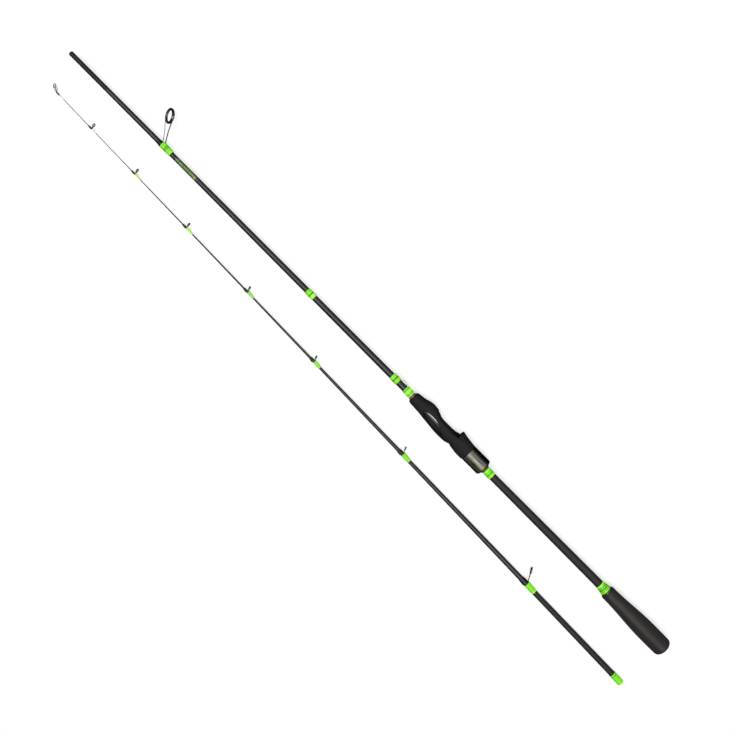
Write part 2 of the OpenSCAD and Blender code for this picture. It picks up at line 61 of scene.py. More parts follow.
knob_low, knob_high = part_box("butt_knob")
blank_low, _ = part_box("butt_blank")
HANDLE = Matrix.Translation((blank_low.x, (knob_low.y + knob_high.y) / 2, (knob_low.z + knob_high.z) / 2))
socket = next(m for m in frame["record"]["mounts"] if m["name"] == "ferrule_female")
SOCKET_FROM_TIP = 1055 * MM  # from the tip section's origin to the socket's mount
x_axis = Vector(socket["axis"]).normalized()
y_axis = Vector((0, 0, 1)).cross(x_axis)
TIP = Matrix.Translation(Vector(socket["pos_m"]) - x_axis * SOCKET_FROM_TIP) @ Matrix(
    ((x_axis.x, y_axis.x, 0, 0), (x_axis.y, y_axis.y, 0, 0), (0, 0, 1, 0), (0, 0, 0, 1))
)
PLACES = {"handle_section": HANDLE, "nut": HANDLE, "hood": HANDLE, "tip_section": TIP}


def local_mm(mesh, place):
    """A mesh's vertices in a section's own millimetres."""
    co = np.empty(len(mesh.vertices) * 3)
    mesh.vertices.foreach_get("co", co)
    inv = np.array(place.inverted())
    return (co.reshape(-1, 3) @ inv[:3, :3].T + inv[:3, 3]) / MM


def span(node, place=HANDLE):
    """Where a CAD node starts and ends along its section."""
    x = local_mm(NODES[node].data, place)[:, 0]
    return float(x.min()), float(x.max())


BUTT_START, BUTT_END = span("butt_blank")
SEAT_X, SEAT_BACK = span("seat_body")
FERRULE_END = 68.0


def butt_r(x):
    return np.interp(x, [0, FERRULE_END, 240, 600, BUTT_END], [3.2, 3.2, 3.5, 4.4, 6.2])


def tip_r(x):
    return np.interp(x, [0, 120, 400, 660, 1000, 1090], [0.45, 0.5, 1.3, 2.55, 4.0, 4.3])


# ---- mesh building ---------------------------------------------------------------------------


def ring_faces(a, b, m):
    """The faces between two rings of m points, the first from point a on and the second from b on."""
    return [(a + j, a + (j + 1) % m, b + (j + 1) % m, b + j) for j in range(m)]


class Shape:
    """Collects points and faces in local millimetres, with a material number for each face."""

    def __init__(self):
        self.points, self.faces, self.slots, self.tints = [], [], [], []
        self.count = 0

    def add(self, points, faces, tint=(0, 0, 0)):
        points = np.asarray(points, float).reshape(-1, 3)
        self.points.append(points)
        self.tints.append(np.broadcast_to(np.asarray(tint, float), (len(points), 3)))
        self.faces += [tuple(int(i) + self.count for i in f) for f in faces]
        self.slots += [0] * len(faces)
        self.count += len(points)

    def grid(self, p, along=False, caps=(False, False), tint=(0, 0, 0)):
        """A sheet of points p[i, j], closed over j. along closes it over i too, caps close its ends."""
        n, m = p.shape[:2]
        faces = []
        for i in range(n if along else n - 1):
            faces += ring_faces(i * m, ((i + 1) % n) * m, m)
        if caps[0]:
            faces.append(tuple(range(m)))
        if caps[1]:
            faces.append(tuple((n - 1) * m + j for j in reversed(range(m))))
        tint = np.asarray(tint, float)
        self.add(p, faces, np.repeat(tint, m, axis=0) if tint.ndim == 2 else tint)

    def object(self, name, body, materials, slot, replaces=(), sharp=40):
        """Makes one of the object's pieces."""
        place = PLACES[body]
        mesh = bpy.data.meshes.new(name)
        world = np.concatenate(self.points) * MM @ np.array(place)[:3, :3].T + np.array(place)[:3, 3]
        mesh.from_pydata(world.tolist(), [], self.faces)
        mesh.polygons.foreach_set("material_index", self.slots)
        clean(mesh)
        local = mesh.attributes.new("local", "FLOAT_VECTOR", "POINT")
        local.data.foreach_set("vector", local_mm(mesh, place).astype(np.float32).ravel())
        tints = np.concatenate(self.tints).astype(np.float32)
        if tints.any():
            tint = mesh.attributes.new("tint", "FLOAT_VECTOR", "POINT")
            tint.data.foreach_set("vector", tints.ravel())
        mesh.polygons.foreach_set("use_smooth", [True] * len(mesh.polygons))
        mesh.set_sharp_from_angle(angle=math.radians(sharp))
        for m in materials:
            mesh.materials.append(m)
        piece = bpy.data.objects.new(name, mesh)
        bpy.context.scene.collection.objects.link(piece)
        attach(piece, body)
        if replaces:
            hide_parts(*replaces)
        return piece


def clean(mesh):
    """Turns every face outward."""
    bm = bmesh.new()
    bm.from_mesh(mesh)
    bmesh.ops.recalc_face_normals(bm, faces=bm.faces)
    bm.to_mesh(mesh)
    bm.free()


def turned_points(profile, seg=SEG):
    """Points of a profile [(place, radius)] turned about X; angle 0 is +y and a quarter turn is +z."""
    profile = np.asarray(profile, float)
    a = np.linspace(0, 2 * np.pi, seg, endpoint=False)
    p = np.empty((len(profile), seg, 3))
    p[..., 0] = profile[:, :1]
    p[..., 1] = profile[:, 1:] * np.cos(a)
    p[..., 2] = profile[:, 1:] * np.sin(a)
    return p


def rounded(points, radius, steps=4, closed=True):
    """A polygon's corners rounded; radius is one number or one for each corner."""
    points = [np.asarray(p, float) for p in points]
    n = len(points)
    radii = [radius] * n if np.isscalar(radius) else list(radius)
    out = []
    for i, p in enumerate(points):
        if not closed and i in (0, n - 1) or radii[i] <= 0:
            out.append(p)
            continue
        a, b = points[i - 1] - p, points[(i + 1) % n] - p
        la, lb = np.linalg.norm(a), np.linalg.norm(b)
        cosine = np.clip(a @ b / (la * lb), -1, 1)
        half = math.acos(cosine) / 2
        if half > math.radians(87):
            out.append(p)
            continue
        cut = min(radii[i] / math.tan(half), 0.45 * la, 0.45 * lb)
        s, e = p + a / la * cut, p + b / lb * cut
        for k in range(steps + 1):
            t = k / steps
            out.append((1 - t) ** 2 * s + 2 * t * (1 - t) * p + t * t * e)
    return np.array(out)


def sweep(shape, path, section, up=(0, 0, 1)):
    """A section [(side, up)] carried along a path. section may be one for every point."""
    path = np.asarray(path, float)
    n = len(path)
    ahead = np.gradient(path, axis=0)
    ahead /= np.linalg.norm(ahead, axis=1)[:, None]
    section = np.asarray(section, float)
    if section.ndim == 2:
        section = np.broadcast_to(section, (n,) + section.shape)
    p = np.empty((n, section.shape[1], 3))
    v = np.asarray(up, float)
    for i in range(n):
        v = v - ahead[i] * (v @ ahead[i])
        v /= np.linalg.norm(v)
        side = np.cross(ahead[i], v)
        p[i] = path[i] + section[i][:, :1] * side + section[i][:, 1:] * v
    shape.grid(p, caps=(True, True))


def oval(w, h, power=2.0, seg=16):
    """A section that is round at power 2 and squarer above it."""
    a = np.linspace(0, 2 * np.pi, seg, endpoint=False)
    c, s = np.cos(a), np.sin(a)
    e = 2 / power
    return np.stack([w / 2 * np.sign(c) * abs(c) ** e, h / 2 * np.sign(s) * abs(s) ** e], axis=1)


def smooth_path(points, steps=8):
    """A Catmull-Rom curve through the points."""
    p = np.asarray(points, float)
    q = np.vstack([2 * p[0] - p[1], p, 2 * p[-1] - p[-2]])
    out = []
    for i in range(1, len(q) - 2):
        for k in range(steps):
            t = k / steps
            out.append(0.5 * (
                2 * q[i] + (q[i + 1] - q[i - 1]) * t
                + (2 * q[i - 1] - 5 * q[i] + 4 * q[i + 1] - q[i + 2]) * t * t
                + (3 * q[i] - q[i - 1] - 3 * q[i + 1] + q[i + 2]) * t**3
            ))
    out.append(p[-1])
    return np.array(out)


def ease(x, lo, hi):
    """0 up to lo, 1 from hi on, smooth between."""
    t = np.clip((np.asarray(x, float) - lo) / (hi - lo), 0, 1)
    return t * t * (3 - 2 * t)


# ---- materials -------------------------------------------------------------------------------


class Look:
    """A node material. values are set on the shader's own sockets; the methods add nodes."""

    def __init__(self, name, coords="local", **values):
        self.material = bpy.data.materials.new(name)
        self.material.use_nodes = True
        self.tree = self.material.node_tree
        self.shader = next(n for n in self.tree.nodes if n.type == "BSDF_PRINCIPLED")
        for key, value in values.items():
            self.shader.inputs[key.replace("_", " ")].default_value = value
        if coords == "local":
            self.place = self.attribute("local")
        else:
            c = self.node("ShaderNodeTexCoord")
            scaled = self.node("ShaderNodeVectorMath", operation="SCALE")
            self.link(c.outputs["Object"], scaled.inputs[0])
            scaled.inputs["Scale"].default_value = 1 / MM
            self.place = scaled.outputs[0]
        split = self.node("ShaderNodeSeparateXYZ")
        self.link(self.place, split.inputs[0])
        self.x, self.y, self.z = split.outputs

    def node(self, kind, **props):
        n = self.tree.nodes.new(kind)
        for k, v in props.items():
            setattr(n, k, v)
        return n

    def link(self, a, b):
        self.tree.links.new(a, b)

    def put(self, socket, value):
        if isinstance(value, bpy.types.NodeSocket):
            self.link(value, socket)
        else:
            socket.default_value = value

    def attribute(self, name):
        n = self.node("ShaderNodeAttribute", attribute_type="GEOMETRY", attribute_name=name)
        return n.outputs["Vector"]

    def math(self, op, a, b=0.0):
        n = self.node("ShaderNodeMath", operation=op)
        self.put(n.inputs[0], a)
        self.put(n.inputs[1], b)
        return n.outputs[0]

    def ramp(self, value, stops):
        n = self.node("ShaderNodeValToRGB")
        self.put(n.inputs[0], value)
        points = n.color_ramp.elements
        while len(points) < len(stops):
            points.new(0.5)
        for e, (at, colour) in zip(points, stops):
            e.position = at
            e.color = (*colour, 1)
        return n.outputs["Color"]

    def span(self, value, lo, hi, out_lo=0.0, out_hi=1.0):
        n = self.node("ShaderNodeMapRange", clamp=True)
        names = ("Value", "From Min", "From Max", "To Min", "To Max")
        for k, v in zip(names, (value, lo, hi, out_lo, out_hi)):
            self.put(n.inputs[k], v)
        return n.outputs[0]

    def mix(self, share, a, b, blend="MIX"):
        n = self.node("ShaderNodeMix", data_type="RGBA", blend_type=blend)
        self.put(n.inputs[0], share)
        for socket, v in ((n.inputs[6], a), (n.inputs[7], b)):
            self.put(socket, (*v, 1) if isinstance(v, tuple) and len(v) == 3 else v)
        return n.outputs[2]

    def stretched(self, x, y, z):
        n = self.node("ShaderNodeVectorMath", operation="MULTIPLY")
        self.link(self.place, n.inputs[0])
        n.inputs[1].default_value = (x, y, z)
        return n.outputs[0]

    def noise(self, scale, detail=3.0, rough=0.5, place=None, warp=0.0):
        n = self.node("ShaderNodeTexNoise")
        self.link(place or self.place, n.inputs["Vector"])
        names = ("Scale", "Detail", "Roughness", "Distortion")
        for k, v in zip(names, (scale, detail, rough, warp)):
            n.inputs[k].default_value = v
        return n.outputs["Fac"]

    def cells(self, scale, feature="F1"):
        n = self.node("ShaderNodeTexVoronoi", feature=feature)
        self.link(self.place, n.inputs["Vector"])
        n.inputs["Scale"].default_value = scale
        return n.outputs["Distance"]

    def angle(self):
        """Turn about the section's axis: 0 towards the guides, a quarter turn upward."""
        return self.math("ARCTAN2", self.z, self.y)

    def colour(self, value):
        self.put(self.shader.inputs["Base Color"], value)

    def rough(self, value):
        self.put(self.shader.inputs["Roughness"], value)

    def bump(self, *heights):
        """Heights are (value, depth in mm)."""
        last = None
        for value, depth in heights:
            n = self.node("ShaderNodeBump")
            n.inputs["Strength"].default_value = 1.0
            n.inputs["Distance"].default_value = depth * MM
            self.link(value, n.inputs["Height"])
            if last:
                self.link(last, n.inputs["Normal"])
            last = n.outputs[0]
        self.link(last, self.shader.inputs["Normal"])


def carbon_gloss():
    """Clear-coated carbon tube: near black, with the faint spiral of its tape under the varnish."""
    k = Look("carbon_gloss", Coat_Weight=0.55, Coat_Roughness=0.1, IOR=1.5, Specular_IOR_Level=0.3)
    turn = k.math("DIVIDE", k.angle(), 2 * math.pi)
    spiral = k.math("FRACT", k.math("ADD", k.math("DIVIDE", k.x, 3.4), turn))
    seam = k.math("PINGPONG", spiral, 0.5)
    fibres = k.noise(1.0, 4, 0.6, k.stretched(0.35, 9, 9))
    cloud = k.noise(0.05, 2, 0.5)
    base = k.ramp(fibres, [(0.3, (0.006, 0.006, 0.006)), (0.75, (0.011, 0.0108, 0.0105))])
    dark = k.mix(k.span(seam, 0, 0.07, 0.4, 0), base, (0.004, 0.004, 0.004))
    k.colour(k.mix(k.span(cloud, 0.35, 0.7, 0, 0.3), dark, (0.015, 0.015, 0.015)))
    k.rough(k.span(k.noise(0.6, 3, 0.6), 0.3, 0.7, 0.34, 0.46))
    k.bump((seam, 0.006), (fibres, 0.003))
    return k.material


def carbon_bare():
    """Unvarnished tube: satin, with the rings that its tape leaves."""
    k = Look("carbon_bare", IOR=1.45, Specular_IOR_Level=0.3)
    turn = k.math("DIVIDE", k.angle(), 2 * math.pi)
    wave = k.math("PINGPONG", k.math("ADD", k.math("DIVIDE", k.x, TAPE), turn), 0.5)
    fibres = k.noise(1.0, 5, 0.65, k.stretched(2.6, 7, 7))
    streak = k.noise(1.0, 3, 0.5, k.stretched(0.22, 0.9, 0.9))
    base = k.ramp(fibres, [(0.25, (0.0105, 0.0115, 0.0095)), (0.8, (0.019, 0.0205, 0.017))])
    ring = k.mix(k.span(wave, 0.0, 0.16, 0.4, 0), base, (0.008, 0.008, 0.0075))
    k.colour(k.mix(k.span(streak, 0.4, 0.75, 0, 0.35), ring, (0.024, 0.025, 0.021)))
    k.rough(k.span(fibres, 0.3, 0.7, 0.42, 0.58))
    k.bump((wave, 0.01), (fibres, 0.004))
    return k.material


def ferrule_bare():
    """The ground end that goes into the socket: fine sanding lines round it."""
    k = Look("ferrule_bare", IOR=1.45, Specular_IOR_Level=0.35)
    lines = k.noise(1.0, 4, 0.7, k.stretched(14, 0.8, 0.8))
    patch = k.noise(0.16, 2, 0.5)
    base = k.ramp(lines, [(0.3, (0.006, 0.006, 0.006)), (0.75, (0.013, 0.013, 0.013))])
    k.colour(k.mix(k.span(patch, 0.4, 0.7, 0, 0.4), base, (0.018, 0.018, 0.018)))
    k.rough(k.span(lines, 0.3, 0.7, 0.36, 0.5))
    k.bump((lines, 0.006))
    return k.material


def marks():
    """A plain row of slanting bars between two thin lines, printed under the varnish, gold at its end."""
    k = Look("blank_marks", Coat_Weight=0.8, Coat_Roughness=0.12, IOR=1.5)
    arc = k.math("MULTIPLY", k.math("SUBTRACT", k.angle(), math.radians(72)), 3.5)
    off = k.math("ABSOLUTE", arc)
    inside = k.math("MULTIPLY", k.math("GREATER_THAN", k.x, MARKS_FROM), k.math("LESS_THAN", k.x, MARKS_TO))
    lean = k.math("ADD", k.x, k.math("MULTIPLY", off, 0.9))
    bar = k.math("FRACT", k.math("DIVIDE", lean, 3.7))
    bars = k.math("MULTIPLY", k.math("LESS_THAN", bar, 0.66), k.math("LESS_THAN", off, 2.7))
    edge = k.math("LESS_THAN", k.math("ABSOLUTE", k.math("SUBTRACT", off, 3.6)), 0.4)
    ink = k.math("MULTIPLY", k.math("MAXIMUM", bars, edge), inside)
    fleck = k.noise(0.45, 3, 0.7)
    green = k.ramp(fleck, [(0.38, (0.012, 0.035, 0.006)), (0.6, (0.09, 0.24, 0.014))])
    rear = k.span(k.x, MARKS_TO - 5, MARKS_TO - 3.5, 0, 1)
    gold = k.mix(k.math("MULTIPLY", rear, k.math("GREATER_THAN", arc, -0.6)), green, (0.27, 0.21, 0.025))
    fibres = k.noise(1.0, 4, 0.6, k.stretched(0.35, 9, 9))
    base = k.ramp(fibres, [(0.3, (0.006, 0.0065, 0.0055)), (0.75, (0.011, 0.012, 0.0095))])
    k.colour(k.mix(ink, base, gold))
    k.rough(k.span(fleck, 0.3, 0.7, 0.3, 0.42))
    k.bump((ink, 0.008), (fibres, 0.003))
    return k.material


def window_blank_painted_highlight():
    """The tube inside the seat's window, given a pale grey metal finish as a painted highlight: it stands in for
    the bright highlight on the dark varnished tube there, and catches the light.
    """
    k = Look("blank_in_window_painted_highlight", Metallic=0.85, Coat_Weight=0.5, Coat_Roughness=0.2, IOR=1.5)
    lines = k.noise(1.0, 4, 0.6, k.stretched(0.4, 6, 6))
    cloud = k.noise(0.09, 2, 0.5)
    base = k.ramp(lines, [(0.3, (0.17, 0.167, 0.158)), (0.75, (0.27, 0.264, 0.25))])
    k.colour(k.mix(k.span(cloud, 0.35, 0.7, 0, 0.3), base, (0.3, 0.29, 0.275)))
    k.rough(k.span(lines, 0.3, 0.7, 0.3, 0.42))
    k.bump((lines, 0.003))
    return k.material


def thread():
    """Wound thread under clear varnish; its colour comes with the mesh, turn by turn."""
    k = Look("varnished_thread", Coat_Weight=0.4, Coat_Roughness=0.07, IOR=1.5, Specular_IOR_Level=0.25)
    tint = k.attribute("tint")
    fibres = k.noise(1.0, 4, 0.7, k.stretched(9, 2.2, 2.2))
    soak = k.noise(0.55, 2, 0.5)
    shade = k.ramp(fibres, [(0.25, (0.74,) * 3), (0.7, (1.0,) * 3)])
    worked = k.mix(1.0, tint, shade, "MULTIPLY")
    soaked = k.mix(0.75, tint, (0.85, 0.95, 0.5), "MULTIPLY")
    k.colour(k.mix(k.span(soak, 0.45, 0.75, 0, 0.22), worked, soaked))
    k.rough(k.span(fibres, 0.3, 0.7, 0.3, 0.45))
    k.bump((fibres, 0.01))
    return k.material


def soft_touch(name, base, light):
    """Moulded plastic with a soft-touch coat: a fine pebble and slow changes of tone."""
    k = Look(name, IOR=1.45, Specular_IOR_Level=0.16)
    pebble = k.cells(5.5, "SMOOTH_F1")
    grain = k.noise(9.0, 3, 0.6)
    cloud = k.noise(0.055, 3, 0.55, warp=0.4)
    tone = k.mix(k.span(cloud, 0.35, 0.68), base, light)
    k.colour(k.mix(k.span(grain, 0.5, 0.8, 0, 0.3), tone, tuple(c * 1.7 for c in light)))
    k.rough(k.span(cloud, 0.3, 0.7, 0.52, 0.64))
    k.bump((pebble, 0.035), (grain, 0.012))
    return k.material


def turned_metal():
    """Gunmetal sleeve, turned: fine rings round it, a darker film in places."""
    k = Look("gunmetal_turned", Metallic=1.0, Anisotropic=0.55)
    lines = k.noise(1.0, 5, 0.75, k.stretched(26, 0.35, 0.35))
    broad = k.noise(1.0, 2, 0.5, k.stretched(2.2, 0.12, 0.12))
    film = k.noise(0.12, 3, 0.6)
    base = k.ramp(lines, [(0.25, (0.13, 0.118, 0.1)), (0.75, (0.21, 0.192, 0.165))])
    worn = k.mix(k.span(broad, 0.4, 0.7, 0, 0.35), base, (0.25, 0.22, 0.18))
    k.colour(k.mix(k.span(film, 0.45, 0.75, 0, 0.4), worn, (0.11, 0.098, 0.083)))
    k.rough(k.span(lines, 0.3, 0.75, 0.3, 0.44))
    k.bump((lines, 0.004))
    return k.material


def steel(name, low, high, rough):
    """Polished stainless part with faint tumbling marks."""
    k = Look(name, Metallic=1.0)
    scuffs = k.noise(2.4, 5, 0.7)
    cloud = k.noise(0.35, 2, 0.5)
    k.colour(k.mix(k.span(cloud, 0.35, 0.7), low, high))
    k.rough(k.span(scuffs, 0.3, 0.75, *rough))
    k.bump((scuffs, 0.003))
    return k.material


def ceramic():
    """Polished hard ring: very dark brown and glossy, with faint grinding rings."""
    k = Look("ring_ceramic", Coat_Weight=0.5, Coat_Roughness=0.03, IOR=1.9)
    cloud = k.noise(0.8, 3, 0.5)
    fine = k.noise(6.0, 3, 0.6)
    k.colour(k.mix(k.span(cloud, 0.35, 0.7), (0.011, 0.008, 0.0065), (0.026, 0.017, 0.012)))
    k.rough(k.span(fine, 0.3, 0.7, 0.1, 0.2))
    k.bump((fine, 0.001))
    return k.material


def foam():
    """EVA foam: closed cells with painted shade darkening their pits, pale flecks, skinned and slightly polished
    by the hand.
    """
    k = Look("eva_foam", IOR=1.48, Specular_IOR_Level=0.5, Specular_Tint=(1, 0.88, 0.87, 1),
             Sheen_Weight=0.03, Sheen_Roughness=0.6)
    cells = k.cells(2.3)
    small = k.cells(5.2)
    grain = k.noise(4.0, 4, 0.65)
    cloud = k.noise(0.04, 3, 0.6)
    tone = k.mix(k.span(cloud, 0.35, 0.7), (0.0085, 0.0066, 0.006), (0.0125, 0.0098, 0.009))
    # the cell pits are painted darker: painted shade in the pits
    pit_shade = k.mix(k.span(cells, 0.0, 0.2, 0.5, 0), tone, (0.0045, 0.0038, 0.0035))
    k.colour(k.mix(k.span(grain, 0.55, 0.8, 0, 0.3), pit_shade, (0.03, 0.025, 0.023)))
    k.rough(k.span(grain, 0.3, 0.7, 0.46, 0.6))
    k.bump((cells, 0.035), (small, 0.014), (grain, 0.012))
    return k.material


def trim(name, low, high):
    """Small turned trim rings."""
    k = Look(name, Coat_Weight=0.3, Coat_Roughness=0.1, IOR=1.48)
    lines = k.noise(1.0, 3, 0.6, k.stretched(8, 0.5, 0.5))
    cloud = k.noise(0.9, 2, 0.5)
    k.colour(k.mix(k.span(cloud, 0.35, 0.7), low, high))
    k.rough(k.span(lines, 0.3, 0.7, 0.3, 0.45))
    k.bump((lines, 0.006))
    return k.material


def resin(name, low, high):
    """Bonded filler, dull plastic and dull spring steel of the hidden pieces."""
    k = Look(name, coords="object", IOR=1.45)
    grain = k.noise(1.6, 4, 0.7)
    k.colour(k.mix(k.span(grain, 0.3, 0.7), low, high))
    k.rough(k.span(grain, 0.3, 0.7, 0.6, 0.85))
    k.bump((grain, 0.08))
    return k.material


MARKS_FROM, MARKS_TO = 192.8, 228.0  # where the row of marks is printed on the blank
TAPE = 4.6  # width of the tape that the bare tube was wound under
GREEN = (0.175, 0.69, 0.003)
GREEN_LIGHT = (0.33, 0.84, 0.06)
GREEN_DARK = (0.03, 0.13, 0.006)
GREEN_MID = (0.1, 0.44, 0.012)
PALE = (0.66, 0.72, 0.5)
OLIVE = (0.5, 0.6, 0.06)
YELLOWISH = (0.38, 0.72, 0.06)
INK = (0.006, 0.006, 0.006)
GOLD = (0.34, 0.24, 0.06)

CARBON = carbon_gloss()
BARE = carbon_bare()
FERRULE = ferrule_bare()
MARKS = marks()
PAINTED_HIGHLIGHT_BLANK = window_blank_painted_highlight()
THREAD = thread()
SEAT = soft_touch("seat_soft_touch", (0.0075, 0.0066, 0.0066), (0.0115, 0.0102, 0.0102))
HOOD = soft_touch("hood_soft_touch", (0.007, 0.0068, 0.006), (0.0105, 0.0101, 0.0092))
GUNMETAL = turned_metal()
SMOKE = steel("smoke_steel", (0.06, 0.058, 0.058), (0.12, 0.117, 0.115), (0.26, 0.4))
BRIGHT = steel("bright_wire", (0.7, 0.69, 0.66), (0.85, 0.84, 0.81), (0.4, 0.55))
CERAMIC = ceramic()
FOAM = foam()
BROWN_TRIM = trim("brown_trim", (0.1, 0.055, 0.035), (0.19, 0.11, 0.075))
BLACK_TRIM = trim("black_trim", (0.01, 0.01, 0.01), (0.022, 0.021, 0.02))

for nodes, look in (
    (("front_arbor", "rear_arbor"), resin("arbor_resin", (0.3, 0.24, 0.15), (0.42, 0.34, 0.22))),
    (("lock_nut",), resin("nut_plastic", (0.012, 0.012, 0.012), (0.024, 0.024, 0.024))),
    (("nut_snap_ring",), resin("snap_ring_steel", (0.35, 0.34, 0.32), (0.5, 0.49, 0.46))),
):
    for node in nodes:
        NODES[node].data.materials.clear()
        NODES[node].data.materials.append(look)


# ---- blanks ----------------------------------------------------------------------------------


def tube(name, body, outer, inner, zones, replaces):
    """A closed tube: outer and inner are profiles [(place, radius)]; zones are (end, material)."""
    shape = Shape()
    profile = np.vstack([outer, np.array(inner)[::-1]])
    p = turned_points(profile)
    n, m = p.shape[:2]
    for i in range(n):
        middle = (profile[i, 0] + profile[(i + 1) % n, 0]) / 2
        zone = next(k for k, z in enumerate(zones) if middle <= z[0]) if i < len(outer) else 0
        shape.faces += ring_faces(i * m, ((i + 1) % n) * m, m)
        shape.slots += [zone] * m
    shape.add(p, [])
    shape.object(name, body, [z[1] for z in zones], "carbon_blank", replaces)


def butt_profile():
    """The handle section's blank, with the slight rings of its tape behind the seat."""
    a = BUTT_START
    rings = np.arange(SEAT_BACK + 2, span("butt_knob")[0] + 4, 0.52)
    front = [a, a + 0.25, a + 0.8, FERRULE_END - 0.4, FERRULE_END + 1.2]
    x = np.unique(np.concatenate([front, np.arange(6, SEAT_BACK, 5.0), rings, [BUTT_END]]))
    r = butt_r(x).astype(float)
    r[x <= a + 0.01] -= 0.3
    r[(x > a + 0.01) & (x < a + 0.5)] = float(butt_r(30.0)) - 0.07
    tape = (x > SEAT_BACK + 2) & (x < BUTT_END - 1)
    r[tape] += 0.025 * np.cos(x[tape] * 2 * np.pi / TAPE) + 0.012 * np.sin(x[tape] * 2 * np.pi / 9.7)
    return np.stack([x, r], axis=1)


# the zone inside the seat's window is a painted highlight: pale grey metal standing in for the bright highlight
# on the dark tube
tube(
    "handle_blank", "handle_section", butt_profile(),
    [[BUTT_START, 2.25], [BUTT_START + 0.25, 2.2], [FERRULE_END, 2.2], [240, 2.5], [600, 3.4],
     [BUTT_END, 5.2]],
    [(FERRULE_END, FERRULE), (MARKS_FROM - 4, CARBON), (MARKS_TO + 4, MARKS), (SEAT_X + 21, CARBON),
     (SEAT_X + 66, PAINTED_HIGHLIGHT_BLANK), (SEAT_BACK, CARBON), (2000, BARE)],
    ["butt_blank"],
)

TIP_LEN = span("tip_blank", TIP)[1]
TIP_VARNISH_END = 902.0  # under the last guide's ramp
SOCKET_R, SOCKET_X = 3.23, TIP_LEN - 70
tip_x = np.unique(np.concatenate([np.arange(9.5, TIP_LEN - 3, 4.0), [8.6, TIP_LEN - 0.35, TIP_LEN]]))
tip_outer = np.stack([tip_x, tip_r(tip_x)], axis=1)
tip_outer[-1, 1] -= 0.12
tube(
    "tip_blank_fine", "tip_section", tip_outer,
    [[8.6, 0.05], [430, 0.05], [432, 0.5], [TIP_LEN - 70.2, 2.73], [SOCKET_X, SOCKET_R],
     [TIP_LEN - 0.3, SOCKET_R], [TIP_LEN, 3.38]],
    [(TIP_VARNISH_END, CARBON), (TIP_LEN + 1, BARE)],
    ["tip_blank"],
)


# ---- windings --------------------------------------------------------------------------------

PITCH = 0.24  # from one turn of thread to the next


def hull_radius(r, foot_t, foot_w, angles):
    """Outline of thread pulled tight over a round blank and a flat foot on its +y side."""
    if foot_t < 0.02:
        return np.full(len(angles), r)
    top, half = r + foot_t, foot_w / 2
    rho, phi = math.hypot(top, half), math.atan2(half, top)
    psi = phi + math.acos(min(1, r / rho))
    a = np.abs((angles + np.pi) % (2 * np.pi) - np.pi)
    out = np.full(len(angles), float(r))
    flat = a <= phi
    out[flat] = top / np.cos(a[flat])
    side = (a > phi) & (a < psi)
    out[side] = r / np.cos(psi - a[side])
    return out


def end_rings(x0, x1, base, seg):
    """Two rings just inside the blank, which close a winding underneath."""
    return turned_points([[x1, float(base(x1)) - 0.02], [x0, float(base(x0)) - 0.02]], seg)


def winding(name, body, x0, x1, thick, main, bands=(), foot=None, replaces=(), slot="green_winding",
            swell=0.1, seg=56, bridge=0.0):
    """Thread wound in a real helix from x0 to x1 on a blank, under varnish that rounds its ends.
    thick is spread evenly from x0 to x1; bands are (from, to, colour); foot is (from, to, thickness
    at from, at to, width); bridge lifts the thread over a wire that lies on the guides' side."""
    base = tip_r if body == "tip_section" else butt_r
    n = max(12, int(round((x1 - x0) / PITCH * 4)))
    x = np.linspace(x0, x1, n + 1)
    a = np.linspace(0, 2 * np.pi, seg, endpoint=False)
    t = np.interp(x, np.linspace(x0, x1, len(thick)), thick)
    mid = (x - x0) / (x1 - x0)
    t = t + swell * np.sin(np.pi * mid) ** 0.7
    rim = min(0.9, (x1 - x0) / 5)
    ends = np.sqrt(np.clip(np.minimum(x - x0, x1 - x) / rim, 0, 1))
    ends = ends * (2 - ends)
    p = np.empty((n + 1, seg, 3))
    for i in range(n + 1):
        r = float(base(x[i]))
        outline = np.full(seg, r)
        if foot:
            fa, fb, ta, tb, w = foot
            foot_t = np.interp(x[i], [fa, fb], [ta, tb]) * float(ease(x[i], fa - 0.3, fa + 0.2))
            foot_t *= 1 - float(ease(x[i], fb, fb + 1.6))
            outline = hull_radius(r, foot_t, w, a)
        ridge = np.abs(np.sin(np.pi * (x[i] / PITCH - a / (2 * np.pi)))) ** 0.8
        depth = 0.045 * min(1.0, ends[i] * 1.2)
        radius = outline + 0.02 + t[i] * ends[i] + depth * (ridge - 0.6)
        radius = radius + bridge * np.clip(np.cos(a), 0, 1) ** 8 * ends[i]
        p[i, :, 0] = x[i]
        p[i, :, 1] = radius * np.cos(a)
        p[i, :, 2] = radius * np.sin(a)
    tint = np.tile(np.asarray(main, float), (n + 1, 1))
    for lo, hi, colour in bands:
        tint[(x >= lo) & (x < hi)] = colour
    shape = Shape()
    shape.grid(np.concatenate([p, end_rings(x0, x1, base, seg)]), along=True,
               tint=np.vstack([tint, tint[-1:], tint[:1]]))
    shape.object(name, body, [THREAD], slot, replaces, sharp=60)


FOOT_AT, FOOT_LEN = 166.6, 16  # the stripper guide's foot
FOOT_T, FOOT_END_T = 0.75, 0.2  # a foot's thickness, and what it tapers to
a, b = span("stripper_wrap")
winding("stripper_winding", "handle_section", a, b - 0.6, (0.6, 0.42), GREEN,
        bands=[(a, a + 0.5, GREEN_LIGHT), (a + 6.4, a + 7.0, GREEN_DARK), (a + 7.0, a + 10.6, GREEN_MID),
               (b - 2, b, GREEN_LIGHT)],
        foot=(FOOT_AT - 0.8, FOOT_AT + FOOT_LEN, FOOT_T, FOOT_END_T, 3.4), replaces=["stripper_wrap"],
        swell=0.2)
a, b = span("stripper_lock_wrap")
winding("stripper_ramp", "handle_section", a, b + 0.05, (0.06, 0.72), INK,
        replaces=["stripper_lock_wrap"], slot="black_winding", swell=0.03)

